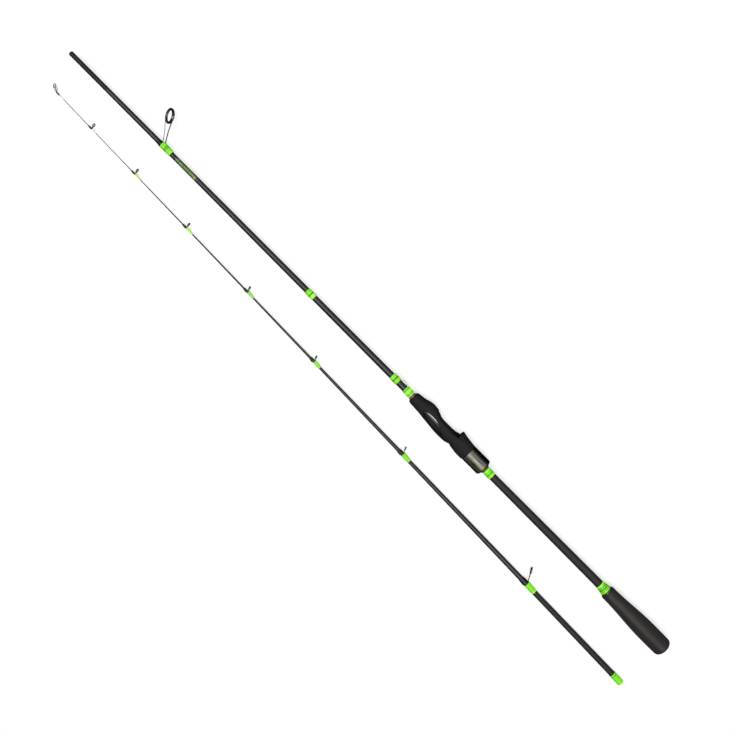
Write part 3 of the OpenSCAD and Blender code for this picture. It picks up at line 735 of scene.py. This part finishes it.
# name, CAD node, thickness, swell, bridge, bands from the node's start a, middle m and end b
for name, node, thick, swell, bridge, bands in (
    ("middle_winding", "mid_wrap", (0.46, 0.46), 0.12, 0, lambda a, m, b: [
        (m - 0.2, m + 1.3, GREEN_DARK), (m + 1.3, b - 3.4, YELLOWISH), (b - 3.4, b, GREEN_LIGHT)]),
    ("keeper_front_winding", "keeper_front_wrap", (0.5, 0.5), 0.1, 0.85, lambda a, m, b: [
        (a, a + 0.75, GREEN_LIGHT), (m - 1.0, m - 0.5, GOLD), (m - 0.5, m + 0.5, INK),
        (m + 0.5, m + 0.9, GOLD)]),
    ("keeper_rear_winding", "keeper_rear_wrap", (0.5, 0.5), 0.1, 0.85, lambda a, m, b: [
        (a + 1.2, a + 3.2, GREEN_MID), (a + 3.6, b - 4.6, GREEN_LIGHT), (b - 3.6, b - 2.4, GREEN_MID),
        (b - 1.2, b, GREEN_LIGHT)]),
    ("grip_winding", "grip_wrap", (0.48, 0.48), 0.14, 0, lambda a, m, b: [
        (a, a + 2.2, GREEN_LIGHT), (m + 0.6, m + 1.5, GREEN_DARK), (b - 1.6, b, GREEN_LIGHT)]),
    ("knob_winding", "knob_wrap", (0.15, 0.4, 0.85, 1.35, 2.05), 0.08, 0, lambda a, m, b: [
        (a, a + 1.3, GREEN_LIGHT), (a + 3.2, a + 5.2, GREEN_MID), (m - 0.4, m + 0.4, GREEN_DARK),
        (m + 0.4, m + 0.8, INK), (m + 2.2, m + 3.2, GREEN_MID), (b - 1.4, b - 0.4, GREEN_DARK)]),
):
    a, b = span(node)
    winding(name, "handle_section", a, b, thick, GREEN, bands(a, (a + b) / 2, b), replaces=[node],
            swell=swell, bridge=bridge)

a, b = span("ferrule_wrap", TIP)
winding("ferrule_winding", "tip_section", a, b - 0.05, (0.34, 0.34), GREEN,
        bands=[(a, a + 0.8, INK), (a + 3.2, a + 4.0, GREEN_DARK), (b - 1.2, b, GREEN_LIGHT)],
        replaces=["ferrule_wrap"], swell=0.06)
a, b = span("tip_top_wrap", TIP)
winding("tip_top_winding", "tip_section", a, b, (0.3, 0.14), PALE, bands=[(a, a + 0.5, YELLOWISH)],
        replaces=["tip_top_wrap"], slot="pale_winding", swell=0.06, seg=32)


# ---- line guides -----------------------------------------------------------------------------

# leg's place, ring centre's height, frame diameter, length of its winding, lean, foot's thickness
GUIDES = [
    (75.3, 5.7, 5.3, 8, 11, 0.9), (157.6, 6, 5.3, 10.8, 10, 1.5), (255.6, 6, 5.3, 11.8, 9, 1.5),
    (372.4, 6.1, 5.3, 11.2, 21, 1), (499.3, 6.5, 5.3, 11.6, 25, 1), (668.9, 8.9, 5.8, 13.3, 26, 0.9),
    (906.6, 18.6, 9.3, 16, 34, 0.9),
]


def leaning(points, x, y, turn=LEAN):
    """Local points [across, up the leg, forward] of a guide that leans towards the tip from [x, y]."""
    p = np.asarray(points, float)
    across, up, fore = p[..., 0], p[..., 1], p[..., 2]
    c, s = math.cos(turn), math.sin(turn)
    return np.stack([x - up * s + fore * c, y + up * c + fore * s, across], axis=-1)


def ring_points(profile, centre_up, x, y, seg=72, turn=LEAN):
    """A profile [(radius, forward)] turned about a leaning guide's ring axis."""
    profile = np.asarray(profile, float)
    a = np.linspace(0, 2 * np.pi, seg, endpoint=False)
    p = np.empty((len(profile), seg, 3))
    p[..., 0] = profile[:, :1] * np.sin(a)
    p[..., 1] = centre_up + profile[:, :1] * np.cos(a)
    p[..., 2] = profile[:, 1:]
    return leaning(p, x, y, turn)


def guide(name, body, x, h, d, foot_len, turn=LEAN, foot_t=FOOT_T, legs=1, apart=False):
    """A guide's metal frame and hard ring. It stands on one broad leg, or on two with a web between,
    or on two that stand apart at the blank, the far one finer."""
    base = tip_r if body == "tip_section" else butt_r
    r0, r1 = float(base(x)), float(base(x + foot_len))
    base_y = r0 + foot_t / 2
    reach = (h - base_y) / math.cos(turn)
    r, half = d / 2, d * 0.0225 + 0.2
    lip = d * 0.05 + 0.25
    metal = Shape()
    band = rounded(
        [(r * 0.86, -half), (r, -half), (r, half), (r * 0.86, half)], min(half, r * 0.07) * 0.95, 5
    )
    metal.grid(ring_points(band, reach, x, base_y, turn=turn), along=True)
    up_axis = leaning([0, 0, 1], 0, 0, turn)
    if legs == 2:
        out, along = (1.5, 1.2) if apart else (0.75, 0.0)
        for side in (-1, 1):
            wide = r * 0.93
            pts = [
                (side * out, -0.4, -side * along), (side * (out + 0.4), reach * 0.1, -side * along * 0.8),
                (side * wide * 0.50, reach * 0.42, 0), (side * wide * 0.86, reach - r * 0.78, 0),
                (side * wide * 1.0, reach - r * 0.22, 0), (side * wide * 0.985, reach + r * 0.12, 0),
            ]
            path = leaning(smooth_path(pts, 10), x, base_y, turn)
            k = np.linspace(0, 1, len(path))
            share, deep = (1, 0.98) if not apart else (0.8, 0.98) if side < 0 else (0.6, 0.5)
            widths = np.interp(k, [0, 0.15, 0.6, 0.85, 1], [1.9, 1.7, 1.35, 1.2, 0.5]) * share
            sweep(metal, path, np.array([oval(w, 2 * half * deep, 2.8, 20) for w in widths]), up=up_axis)
        # web between the legs, near the foot
        p = []
        for u in np.linspace(-0.4, reach * (0.02 if apart else 0.3), 8):
            w = 2 * (0.7 + 0.32 * max(0, u)) * (1 - 0.2 * (u > reach * 0.27))
            o = oval(w, half * 1.5, 4, 24)
            p.append(leaning(np.column_stack([o[:, 0], np.full(24, u), o[:, 1]]), x, base_y, turn))
        metal.grid(np.array(p), caps=(True, True))
    else:
        top = reach - r * 0.62
        p = []
        for u in np.linspace(-0.3, top, 14):
            k = max(0.0, u) / top
            w = np.interp(k, [0, 0.35, 1], [0.9 + d * 0.04, (0.9 + d * 0.04) * 1.02, r * 0.80])
            o = oval(2 * w, 2 * half * 0.98, 3.2, 28)
            p.append(leaning(np.column_stack([o[:, 0], np.full(28, u), o[:, 1]]), x, base_y, turn))
        metal.grid(np.array(p), caps=(True, True))
    # foot along the blank: it tapers under the winding
    w = min(1.6 + d * 0.1, 1.7 * r0)
    rows = []
    for q in np.linspace(-0.8, foot_len, 26):
        k = np.clip(q / foot_len, 0, 1)
        rr = r0 + (r1 - r0) * k
        t = np.interp(q, [-0.8, -0.3, 1, foot_len], [foot_t * 0.55, foot_t, foot_t, FOOT_END_T])
        low = math.sqrt(max(rr * rr - (w / 2) ** 2, 0.0)) - 0.05
        o = oval(w, rr + t - low, 5, 24)
        rows.append(np.column_stack([np.full(24, x + q), o[:, 1] + (rr + t + low) / 2, o[:, 0]]))
    metal.grid(np.array(rows), caps=(True, True))
    metal.object(name + "_metal", body, [SMOKE], "guide_frame", [name + "_frame"], sharp=50)

    insert = Shape()
    r_in, r_seat, r_flange = r * 0.74, r * 0.862, r * 0.97
    profile = rounded(
        [
            (r_in, -half - lip * 0.2), (r_in + lip * 0.3, -half - lip), (r_seat - 0.02, -half - lip * 0.6),
            (r_seat, -half * 0.5), (r_seat, half + 0.02), (r_flange, half + 0.03),
            (r_flange - lip * 0.15, half + lip * 0.8),
            (r_in + lip * 0.5, half + lip * 1.2), (r_in, half + lip * 0.6),
        ],
        [lip * 0.5, lip * 0.6, lip * 0.2, 0, 0, lip * 0.2, lip * 0.5, lip * 0.8, lip * 0.6],
        5,
    )
    insert.grid(ring_points(profile, reach, x, base_y, turn=turn), along=True)
    insert.object(name + "_insert", body, [CERAMIC], "guide_ring", [name + "_ring"], sharp=50)


STRIPPER_H, STRIPPER_D = 34.6, 20.2
guide("stripper", "handle_section", FOOT_AT, STRIPPER_H, STRIPPER_D, FOOT_LEN, legs=2, apart=True)

lock = Shape()
for n, (gx, gh, gd, wrap, turn, foot_t) in enumerate(GUIDES, 1):
    foot_len = wrap * 0.85
    guide(f"guide_{n}", "tip_section", gx, gh, gd, foot_len, math.radians(turn), foot_t, 2 if n == 7 else 1)
    main = (PALE, OLIVE, YELLOWISH)[n - 1] if n < 4 else GREEN
    wa, wb = gx + 0.45, gx + wrap
    winding(f"guide_{n}_winding", "tip_section", wa, wb, (0.32, 0.16), main,
            bands=[(wa, wa + 0.8, GREEN_DARK), (wb - 1.6, wb, YELLOWISH)] if n > 3 else (),
            foot=(gx - 0.8, gx + foot_len, foot_t, FOOT_END_T, min(1.6 + gd * 0.1, 1.7 * float(tip_r(gx)))),
            replaces=[f"guide_{n}_wrap"], slot="pale_winding" if n == 1 else "green_winding",
            swell=0.05, seg=40)
    # black ramp of thread ahead of the leg
    length = 4 + gd * 0.6
    la, lb = gx - length, gx - 0.84
    x = np.linspace(la, lb, int((lb - la) / 0.06))
    a = np.linspace(0, 2 * np.pi, 40, endpoint=False)
    k = (x - la) / (lb - la)
    top = tip_r(x) + 0.04 + (FOOT_T + 0.16) * np.sqrt(k) * 0.98 * (1 - 0.12 * ease(k, 0.9, 1))
    ridge = np.abs(np.sin(np.pi * (x[:, None] / PITCH - a / (2 * np.pi))))
    radius = top[:, None] + 0.035 * (ridge - 0.6) * np.clip(k * 6, 0, 1)[:, None]
    p = np.stack([np.repeat(x[:, None], 40, 1), radius * np.cos(a), radius * np.sin(a)], axis=-1)
    lock.grid(np.concatenate([p, end_rings(la, lb, tip_r, 40)]), along=True, tint=INK)
lock.object("guide_ramps", "tip_section", [THREAD], "black_winding", ["guide_lock_wraps"], sharp=60)


# ---- tip top ---------------------------------------------------------------------------------

TOP_H, TOP_D, TOP_X = 4.5, 5.5, 1.1  # the ring's height, diameter and place
TUBE_A, TUBE_B, TUBE_R = 7.6, 14.0, 1.05
top = Shape()
outline = rounded(
    [(TUBE_A, 0.02), (TUBE_A, 0.62), (TUBE_A + 0.7, TUBE_R), (TUBE_B, TUBE_R), (TUBE_B, tip_r(TUBE_B)),
     (TUBE_A + 1.1, tip_r(9)), (TUBE_A + 1.1, 0.02)],
    [0, 0.3, 0.5, 0.12, 0, 0, 0], 4,
)
top.grid(turned_points(outline, 32), along=True)
band = rounded([(TOP_D * 0.43, -0.325), (TOP_D / 2, -0.325), (TOP_D / 2, 0.325), (TOP_D * 0.43, 0.325)], 0.18, 5)
top.grid(ring_points(band, 0, TOP_X, TOP_H, 56), along=True)
for side in (-1, 1):
    lower = [(TUBE_A + 0.7, -0.1, 0.45), (5.6, 0.75, 0.85), (3.6, 1.7, 1.3), (2.2, 2.4, 1.62)]
    upper = [(TUBE_A + 0.6, 0.5, 0.25), (7.3, 2.0, 0.8), (6.0, 3.4, 1.3), (3.7, 4.25, 2.0),
             (1.3, 4.85, 2.56)]
    for brace, steps, width in ((lower, 8, 0.68), (upper, 9, 0.52)):
        sweep(top, smooth_path(np.array(brace) * [1, 1, side], steps), oval(width, width, 2, 14))
top.object("tip_top_metal", "tip_section", [SMOKE], "guide_frame", ["tip_top_frame"], sharp=50)
insert = Shape()
r = TOP_D / 2
outline = [(r * 0.68, -0.4), (r * 0.74, -0.65), (r * 0.862, -0.5), (r * 0.862, 0.5), (r * 0.74, 0.65),
           (r * 0.68, 0.4)]
insert.grid(ring_points(rounded(outline, 0.18, 5), 0, TOP_X, TOP_H, 56), along=True)
insert.object("tip_top_insert", "tip_section", [CERAMIC], "guide_ring", ["tip_top_ring"], sharp=50)


# ---- hook keeper and trims -------------------------------------------------------------------

ka, kb = span("hook_keeper")
keeper = Shape()
ky, mid = 5.17, (ka + kb) / 2
loop_y = ky + 1.88
corner = rounded(
    [(ka, ky, 0), (mid - 4.5, ky, 0), (mid - 2.7, loop_y, 0), (mid + 2.7, loop_y, 0), (mid + 4.5, ky, 0),
     (kb, ky, 0)],
    [0, 1.6, 1.8, 1.8, 1.6, 0], 8, closed=False,
)
legs = [np.linspace(a, b, 5) for a, b in (corner[:2], corner[-2:])]
path = np.concatenate([legs[0][:-1], corner[1:-1], legs[1][1:]])
path = path[np.concatenate([[True], np.linalg.norm(np.diff(path, axis=0), axis=1) > 1e-4])]
sweep(keeper, path, oval(1.0, 1.0, 2, 16))
keeper.object("hook_keeper_wire", "handle_section", [BRIGHT], "bright_wire", ["hook_keeper"], sharp=60)


# name, CAD node, material, its slot, outline from the node's start a, end b and the blank's radius r,
# and how far each of its corners is rounded
for name, node, look, slot, outline, radii in (
    ("front_trim", "front_check", BROWN_TRIM, "brown_check", lambda a, b, r: [
        (a, r), (a, r + 0.62), (a + 0.75, r + 1.12), (b, r + 1.12), (b, r)], [0, 0.3, 0.35, 0.12, 0]),
    ("rear_trim", "rear_check", BLACK_TRIM, "black_check", lambda a, b, r: [
        (a, r), (a, 6.3), (a + 1.4, 6.3), (b, r + 0.6), (b, r)], [0, 0.25, 0.5, 0.2, 0]),
    ("knob_trim", "knob_check", BLACK_TRIM, "black_check", lambda a, b, r: [
        (a, r), (a, 7.95), (b, 8.25), (b, r)], [0, 0.35, 0.1, 0]),
):
    a, b = span(node)
    collar = Shape()
    profile = rounded(outline(a, b, float(butt_r(b))), radii, 6)
    collar.grid(turned_points(profile), along=True)
    collar.object(name, "handle_section", [look], slot, [node], sharp=35)


# ---- reel seat -------------------------------------------------------------------------------

SHOULDER, BARREL_END, BARREL_R = 99.8, 127.6, 9.2
BED, CHANNEL_X, CHANNEL_HALF, POCKET_HALF, POCKET_TOP = 5.5, 58.0, 8.25, 6.2, 10.0
SLOT_FLOOR, SLOT_HALF, TAIL_END = 6.6, 6.25, 122.0
# place, underside, guide side, half width
SECTIONS = np.array([
    [0, -6.7, 6.7, 6.9], [1.5, -7.6, 7.6, 7.8], [4, -8.1, 8.4, 8.4], [9, -8.4, 9, 8.8],
    [15, -8.7, 10.1, 9.2], [19, -9, 11.5, 9.6], [23, -9.4, 12.4, 10], [26, -9.7, 12.7, 10.1],
    [31, -10.3, 12.5, 9.9], [35, -10.7, 12, 9.6], [40, -11.3, 10.7, 9.2], [45, -11.8, 8.8, 8.8],
    [50, -12.3, 7.9, 8.6], [57, -12.5, 7.8, 8.7], [64, -12.3, 7.8, 9.2], [69, -11.6, 8.6, 9.8],
    [75.5, -9.5, 10, 10.4], [78.5, -10.6, 10.8, 10.6], [82, -11.2, 12.7, 10.9],
    [92, -12.3, 12.6, 11], [SHOULDER, -12.2, 12, 11],
])


def through(x, y, q):
    """Smooth curve through points that never swings past them."""
    x, y = np.asarray(x, float), np.asarray(y, float)
    h, d = np.diff(x), np.diff(y) / np.diff(x)
    m = np.zeros(len(x))
    m[0], m[-1] = d[0], d[-1]
    for i in range(1, len(x) - 1):
        if d[i - 1] * d[i] > 0:
            w1, w2 = 2 * h[i] + h[i - 1], h[i] + 2 * h[i - 1]
            m[i] = (w1 + w2) / (w1 / d[i - 1] + w2 / d[i])
    k = np.clip(np.searchsorted(x, q, "right") - 1, 0, len(h) - 1)
    t = (q - x[k]) / h[k]
    return (
        (1 + 2 * t) * (1 - t) ** 2 * y[k] + t * (1 - t) ** 2 * h[k] * m[k]
        + t * t * (3 - 2 * t) * y[k + 1] + t * t * (t - 1) * h[k] * m[k + 1]
    )


def closed_object(name, rings):
    """A helper mesh in local millimetres, for cutting."""
    s = Shape()
    s.grid(rings, caps=(True, True))
    mesh = bpy.data.meshes.new(name)
    mesh.from_pydata(np.concatenate(s.points).tolist(), [], s.faces)
    clean(mesh)
    o = bpy.data.objects.new(name, mesh)
    bpy.context.scene.collection.objects.link(o)
    return o


def block(x0, x1, y0, y1, z0, z1, r=0.0):
    """A box with its long edges rounded, as rings of points along x."""
    o = [(y0, z0), (y1, z0), (y1, z1), (y0, z1)]
    o = rounded(o, r, 5) if r else np.array(o, float)
    return np.array([np.column_stack([np.full(len(o), x), o]) for x in (x0, x1)])


def moulded(name, body, solids, cutters, voxel, relax, materials, slot, replaces):
    """Joins solids, cuts them, and softens every edge as a mould does."""
    main = closed_object("raw", solids[0])
    work = [main]
    for kind, parts in (("UNION", solids[1:]), ("DIFFERENCE", cutters)):
        for part in parts:
            helper = closed_object("helper", part)
            work.append(helper)
            cut = main.modifiers.new("cut", "BOOLEAN")
            cut.operation, cut.solver, cut.object = kind, "EXACT", helper
    remesh = main.modifiers.new("remesh", "REMESH")
    remesh.mode, remesh.voxel_size, remesh.adaptivity = "VOXEL", voxel, 0.0
    soften = main.modifiers.new("soften", "SMOOTH")
    soften.factor, soften.iterations = 0.5, relax
    bpy.context.view_layer.update()
    done = main.evaluated_get(bpy.context.evaluated_depsgraph_get()).to_mesh()
    points = np.empty(len(done.vertices) * 3)
    done.vertices.foreach_get("co", points)
    faces = [tuple(p.vertices) for p in done.polygons]
    shape = Shape()
    shape.add(points.reshape(-1, 3), faces)
    for o in work:
        mesh = o.data
        bpy.data.objects.remove(o)
        bpy.data.meshes.remove(mesh)
    return shape.object(name, body, materials, slot, replaces, sharp=180)


def seat_rings():
    x = np.unique(np.concatenate([np.arange(0, 6, 0.5), np.arange(6, SHOULDER, 1.0), [SHOULDER]]))
    low, high, half = (through(SECTIONS[:, 0], SECTIONS[:, i], x) for i in (1, 2, 3))
    a = np.linspace(0, 2 * np.pi, 96, endpoint=False)
    c, s, e = np.cos(a), np.sin(a), 2 / 2.4
    p = np.empty((len(x), 96, 3))
    p[..., 0] = x[:, None] + SEAT_X
    p[..., 1] = ((low + high) / 2)[:, None] + ((high - low) / 2)[:, None] * np.sign(c) * abs(c) ** e
    p[..., 2] = half[:, None] * np.sign(s) * abs(s) ** e
    return p


def window_rings(side):
    """The leaf-shaped recess in one side of the seat."""
    t = np.linspace(0, 1, 33)
    upper = np.stack([21.5 + 41 * t, -0.3 - 6.7 * t + 6.2 * np.sin(np.pi * t**0.85)], 1)
    t = t[-2:0:-1]
    lower = np.stack([21.5 + 41 * t, -0.3 - 6.7 * t - 5.2 * np.sin(np.pi * t**0.7)], 1)
    o = np.vstack([upper, lower])
    rings = []
    for z in (2.6, 20):
        rings.append(np.column_stack([o[:, 0] + SEAT_X, o[:, 1], np.full(len(o), side * z)]))
    return np.array(rings)


def lathe_solid(profile, seg=96):
    p = turned_points(profile, seg)
    p[..., 0] += SEAT_X
    return p


def bore(x):
    return float(butt_r(SEAT_X + x)) + 0.15


X = SEAT_X
moulded(
    "reel_seat", "handle_section",
    [
        seat_rings(),
        lathe_solid([(SHOULDER - 1, 8.0), (SHOULDER - 1, BARREL_R), (BARREL_END - 0.3, BARREL_R),
                     (BARREL_END, BARREL_R - 0.3), (BARREL_END, 3.0)]),
    ],
    [
        lathe_solid([(-1, 6.0), (20, 6.0), (20, bore(20)), (104, bore(104)), (104, 5.9),
                     (BARREL_END + 1, 5.9)], 72),
        block(X + 23, X + 37, BED, POCKET_TOP, -POCKET_HALF, POCKET_HALF, 0.9),
        block(X + 36, X + CHANNEL_X + 1, BED, BED + 12, -POCKET_HALF, POCKET_HALF, 0.6),
        block(X + CHANNEL_X, X + SHOULDER + 0.1, BED, BED + 12, -CHANNEL_HALF, CHANNEL_HALF),
        block(X + SHOULDER - 2, X + TAIL_END + 1, SLOT_FLOOR, SLOT_FLOOR + 6, -SLOT_HALF, SLOT_HALF),
        window_rings(-1),
        window_rings(1),
    ],
    0.36, 7, [SEAT], "seat_plastic", ["seat_body"],
)

HOOD_X, HOOD_HALF, HOOD_FLOOR, TAIL_FLOOR = 77.2, 8.0, 5.7, 6.8
dome = rounded(
    [(HOOD_X, 0.01), (HOOD_X, 14.0), (HOOD_X + 0.9, 14.9), (HOOD_X + 2.6, 14.6), (HOOD_X + 8, 13.4),
     (HOOD_X + 15, 12.5), (SHOULDER, 11.7), (SHOULDER, 0.01)],
    [0, 0.6, 0.8, 1.5, 6, 5, 0.3, 0], 6, closed=False,
)
slant = block(-6, 0, -8, 5.5, -HOOD_HALF - 1, HOOD_HALF + 1)
c, s = math.cos(math.radians(25)), math.sin(math.radians(25))
slant = np.stack([
    slant[..., 0] * c - slant[..., 1] * s + X + HOOD_X,
    slant[..., 0] * s + slant[..., 1] * c + HOOD_FLOOR,
    slant[..., 2],
], -1)
ahead, behind = X + HOOD_X - 3, X + SHOULDER + 3
moulded(
    "moving_hood_fine", "hood",
    [lathe_solid(dome)],
    [
        block(ahead, behind, -16, 16, HOOD_HALF, 20),
        block(ahead, behind, -16, 16, -20, -HOOD_HALF),
        block(ahead, behind, -20, HOOD_FLOOR, -21, 21),
        block(X + HOOD_X - 2, X + HOOD_X + 14.5, HOOD_FLOOR - 1, 10.4, -6.2, 6.2, 2.2),
        slant,
    ],
    0.24, 5, [HOOD], "seat_plastic", ["moving_hood"],
)

# threaded tail of the hood, inside the nut
tail = Shape()
CREST, ROOT, THREAD_PITCH = BARREL_R - 0.1, BARREL_R - 0.6, 1.5
tx = np.linspace(SHOULDER - 0.6, TAIL_END - 0.05, 132)
TAIL_HALF = 6.0
half_turn = math.asin(TAIL_HALF / CREST)
ta = np.linspace(-half_turn, half_turn, 40)
phase = (tx[:, None] / THREAD_PITCH - ta[None, :] / np.pi) % 1.0
groove = ease(phase, 0.05, 0.3) * (1 - ease(phase, 0.6, 0.9))
runout = ease(tx, SHOULDER + 0.6, SHOULDER + 1.6) * (1 - ease(tx, TAIL_END - 1, TAIL_END - 0.3))
groove *= runout[:, None]
radius = CREST - (CREST - ROOT) * groove
place = np.repeat(tx[:, None] + X, 40, 1)
outer = np.stack([place, radius * np.cos(ta), radius * np.sin(ta)], axis=-1)
across = np.tile(TAIL_HALF * np.sin(ta) / math.sin(half_turn), (len(tx), 1))
under = np.stack([place, np.full_like(place, TAIL_FLOOR), across], axis=-1)
tail.grid(np.concatenate([outer, under[:, ::-1]], axis=1), caps=(True, True))
tail.object("hood_tail", "hood", [HOOD], "seat_plastic", (), sharp=50)

# metal sleeve of the lock nut
na, nb = span("nut_sleeve")
nr = (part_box("nut_sleeve")[1].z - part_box("nut_sleeve")[0].z) / 2 / MM
sleeve = Shape()
outline = rounded(
    [(na, nr - 0.8), (na, nr - 0.05), (na + 0.9, nr), (nb - 2.7, nr), (nb - 1.5, nr - 0.55), (nb, 8.0),
     (nb, 6.8), (nb - 1.6, 6.8), (nb - 1.6, nr - 0.8)],
    [0, 0.35, 0.3, 1.4, 1.1, 0.6, 0.3, 0, 0], 8,
)
fine = []
for p, q in zip(outline, np.roll(outline, -1, 0)):
    steps = max(1, int(np.linalg.norm(q - p) / 0.5)) if p[1] > nr - 0.2 and q[1] > nr - 0.2 else 1
    fine += [p + (q - p) * k / steps for k in range(steps)]
fine = np.array(fine)
groove_x = na + 1.9  # a shallow turned groove near the front of the sleeve
dip = 0.12 * np.exp(-(((fine[:, 0] - groove_x) / 0.22) ** 2))
fine[:, 1] -= np.where(fine[:, 1] > nr - 0.02, dip, 0)
sleeve.grid(turned_points(fine, 128), along=True)
sleeve.object("nut_sleeve_fine", "nut", [GUNMETAL], "nut_metal", ["nut_sleeve"], sharp=50)


# ---- knob ------------------------------------------------------------------------------------

xa, xb = span("butt_knob")
knob_r = (knob_high.z - knob_low.z) / 2 / MM
front_r = 9.7
knob_len = xb - xa
swell = knob_len * 0.7
ROUND, DOME, KNOB_SEG = 3.4, 0.6, 96
pts = [(xa, float(butt_r(xa)) - 0.05), (xa, front_r - 1.3), (xa + 0.5, front_r - 0.35)]
for t in np.linspace(0.012, 1, 90):
    flare = math.sin(math.pi / 2 * t) ** 2.2
    pts.append((xa + 0.9 + (swell - 0.9) * t, front_r + (knob_r - front_r) * flare))
straight = xb - DOME - ROUND - (xa + swell)
for t in np.linspace(0.1, 1, 12):
    pts.append((xa + swell + straight * t, knob_r - 0.2 * t * t))
for q in np.radians(np.arange(8, 91, 6)):
    pts.append((xb - DOME - ROUND * (1 - math.sin(q)), knob_r - 0.2 - ROUND * (1 - math.cos(q))))
for t in np.linspace(0.9, 0, 8):
    pts.append((xb - DOME * t * t, 0.05 + (knob_r - ROUND - 0.25) * t))
knob = Shape()
p = turned_points(pts, KNOB_SEG)
# the foam isn't perfectly true: a slow waviness of a few hundredths
ripple = 0.035 * np.sin(p[..., 0] / 3.1 + 1.3 * np.sin(p[..., 2] / 2.7))
ripple *= np.sin(p[..., 1] / 2.9 + p[..., 0] / 7.3)
away = np.linalg.norm(p[..., 1:], axis=-1, keepdims=True)
p[..., 1:] -= p[..., 1:] / away * np.abs(ripple)[..., None] * (away > 8.5)
knob.grid(p, caps=(False, True))
knob.add(turned_points([(xa, float(butt_r(xa)) - 0.05), (BUTT_END - 0.4, 6.1)], KNOB_SEG), [])
inside = len(p) * KNOB_SEG  # the bore's first point
bottom = inside + KNOB_SEG
knob.faces += ring_faces(0, inside, KNOB_SEG) + ring_faces(inside, bottom, KNOB_SEG)
knob.faces.append(tuple(bottom + j for j in range(KNOB_SEG)))
knob.slots += [0] * (2 * KNOB_SEG + 1)
knob_piece = knob.object("foam_knob", "handle_section", [FOAM], "foam", ["butt_knob"], sharp=50)


# ---- floor, light and camera -----------------------------------------------------------------


def stage():
    low = -0.0004
    mesh = bpy.data.meshes.new("floor")
    mesh.from_pydata([(-6, -6, low), (6, -6, low), (6, 6, low), (-6, 6, low)], [], [(0, 1, 2, 3)])
    floor = bpy.data.objects.new("floor", mesh)
    bpy.context.scene.collection.objects.link(floor)
    look = Look("pale_floor", coords="object", Roughness=0.9, Specular_IOR_Level=0.1)
    look.colour(look.mix(look.noise(0.02, 2, 0.5), (0.33, 0.33, 0.33), (0.34, 0.34, 0.34)))
    look.shader.inputs["Emission Color"].default_value = (1, 1, 1, 1)
    look.shader.inputs["Emission Strength"].default_value = 0.62
    mesh.materials.append(look.material)
    floor.visible_glossy = False

    world = bpy.data.worlds.new("studio")
    bpy.context.scene.world = world
    world.use_nodes = True
    sky = world.node_tree.nodes["Background"]
    sky.inputs["Color"].default_value = (1, 1, 1, 1)
    sky.inputs["Strength"].default_value = 0.4
    world.cycles_visibility.glossy = False

    for name, place, size, radiance in (
        ("key", (0, 0.2, 2.2), (4.4, 1.4), 3.6),
        ("side", (0, 2.3, 1.75), (4.4, 1.0), 1.5),
        ("fill_left", (0, -3.2, 1.2), (4.0, 1.6), 0.35),
        ("fill_right", (0, 3.4, 1.0), (4.0, 1.2), 0.3),
    ):
        light = bpy.data.lights.new(name, "AREA")
        light.shape, light.size, light.size_y = "RECTANGLE", size[0], size[1]
        light.energy = radiance * math.pi * size[0] * size[1]
        o = bpy.data.objects.new(name, light)
        o.location = place
        o.rotation_mode = "QUATERNION"
        o.rotation_quaternion = (Vector((0, 0, 0)) - Vector(place)).to_track_quat("-Z", "Y")
        o.visible_camera = False
        bpy.context.scene.collection.objects.link(o)


CAMERA_TILT, CAMERA_TURN = math.radians(20), math.radians(45.13)
CAMERA_TARGET = (551.54 * MM, -15.75 * MM, 0)  # in the handle section's own place
CAMERA_AWAY, CAMERA_LENS = 0.95, 36.215


def camera():
    """Looks down at the rod from 70 degrees, turned so that the rod runs corner to corner."""
    tilt, turn = CAMERA_TILT, CAMERA_TURN
    target = HANDLE @ Vector(CAMERA_TARGET)
    back = Vector((0, math.sin(tilt), math.cos(tilt)))
    u, g = Vector((1, 0, 0)), Vector((0, math.cos(tilt), -math.sin(tilt)))
    right = u * math.cos(turn) + g * math.sin(turn)
    up = -u * math.sin(turn) + g * math.cos(turn)
    data = bpy.data.cameras.new("camera")
    data.lens, data.sensor_width = CAMERA_LENS, 36.0
    data.clip_start, data.clip_end = 0.01, 50
    cam = bpy.data.objects.new("camera", data)
    cam.matrix_world = Matrix.Translation(target + back * CAMERA_AWAY) @ Matrix(
        ((right.x, up.x, back.x, 0), (right.y, up.y, back.y, 0), (right.z, up.z, back.z, 0), (0, 0, 0, 1))
    )
    bpy.context.scene.collection.objects.link(cam)
    bpy.context.scene.camera = cam


stage()
camera()
bpy.context.scene.view_settings.view_transform = "Standard"
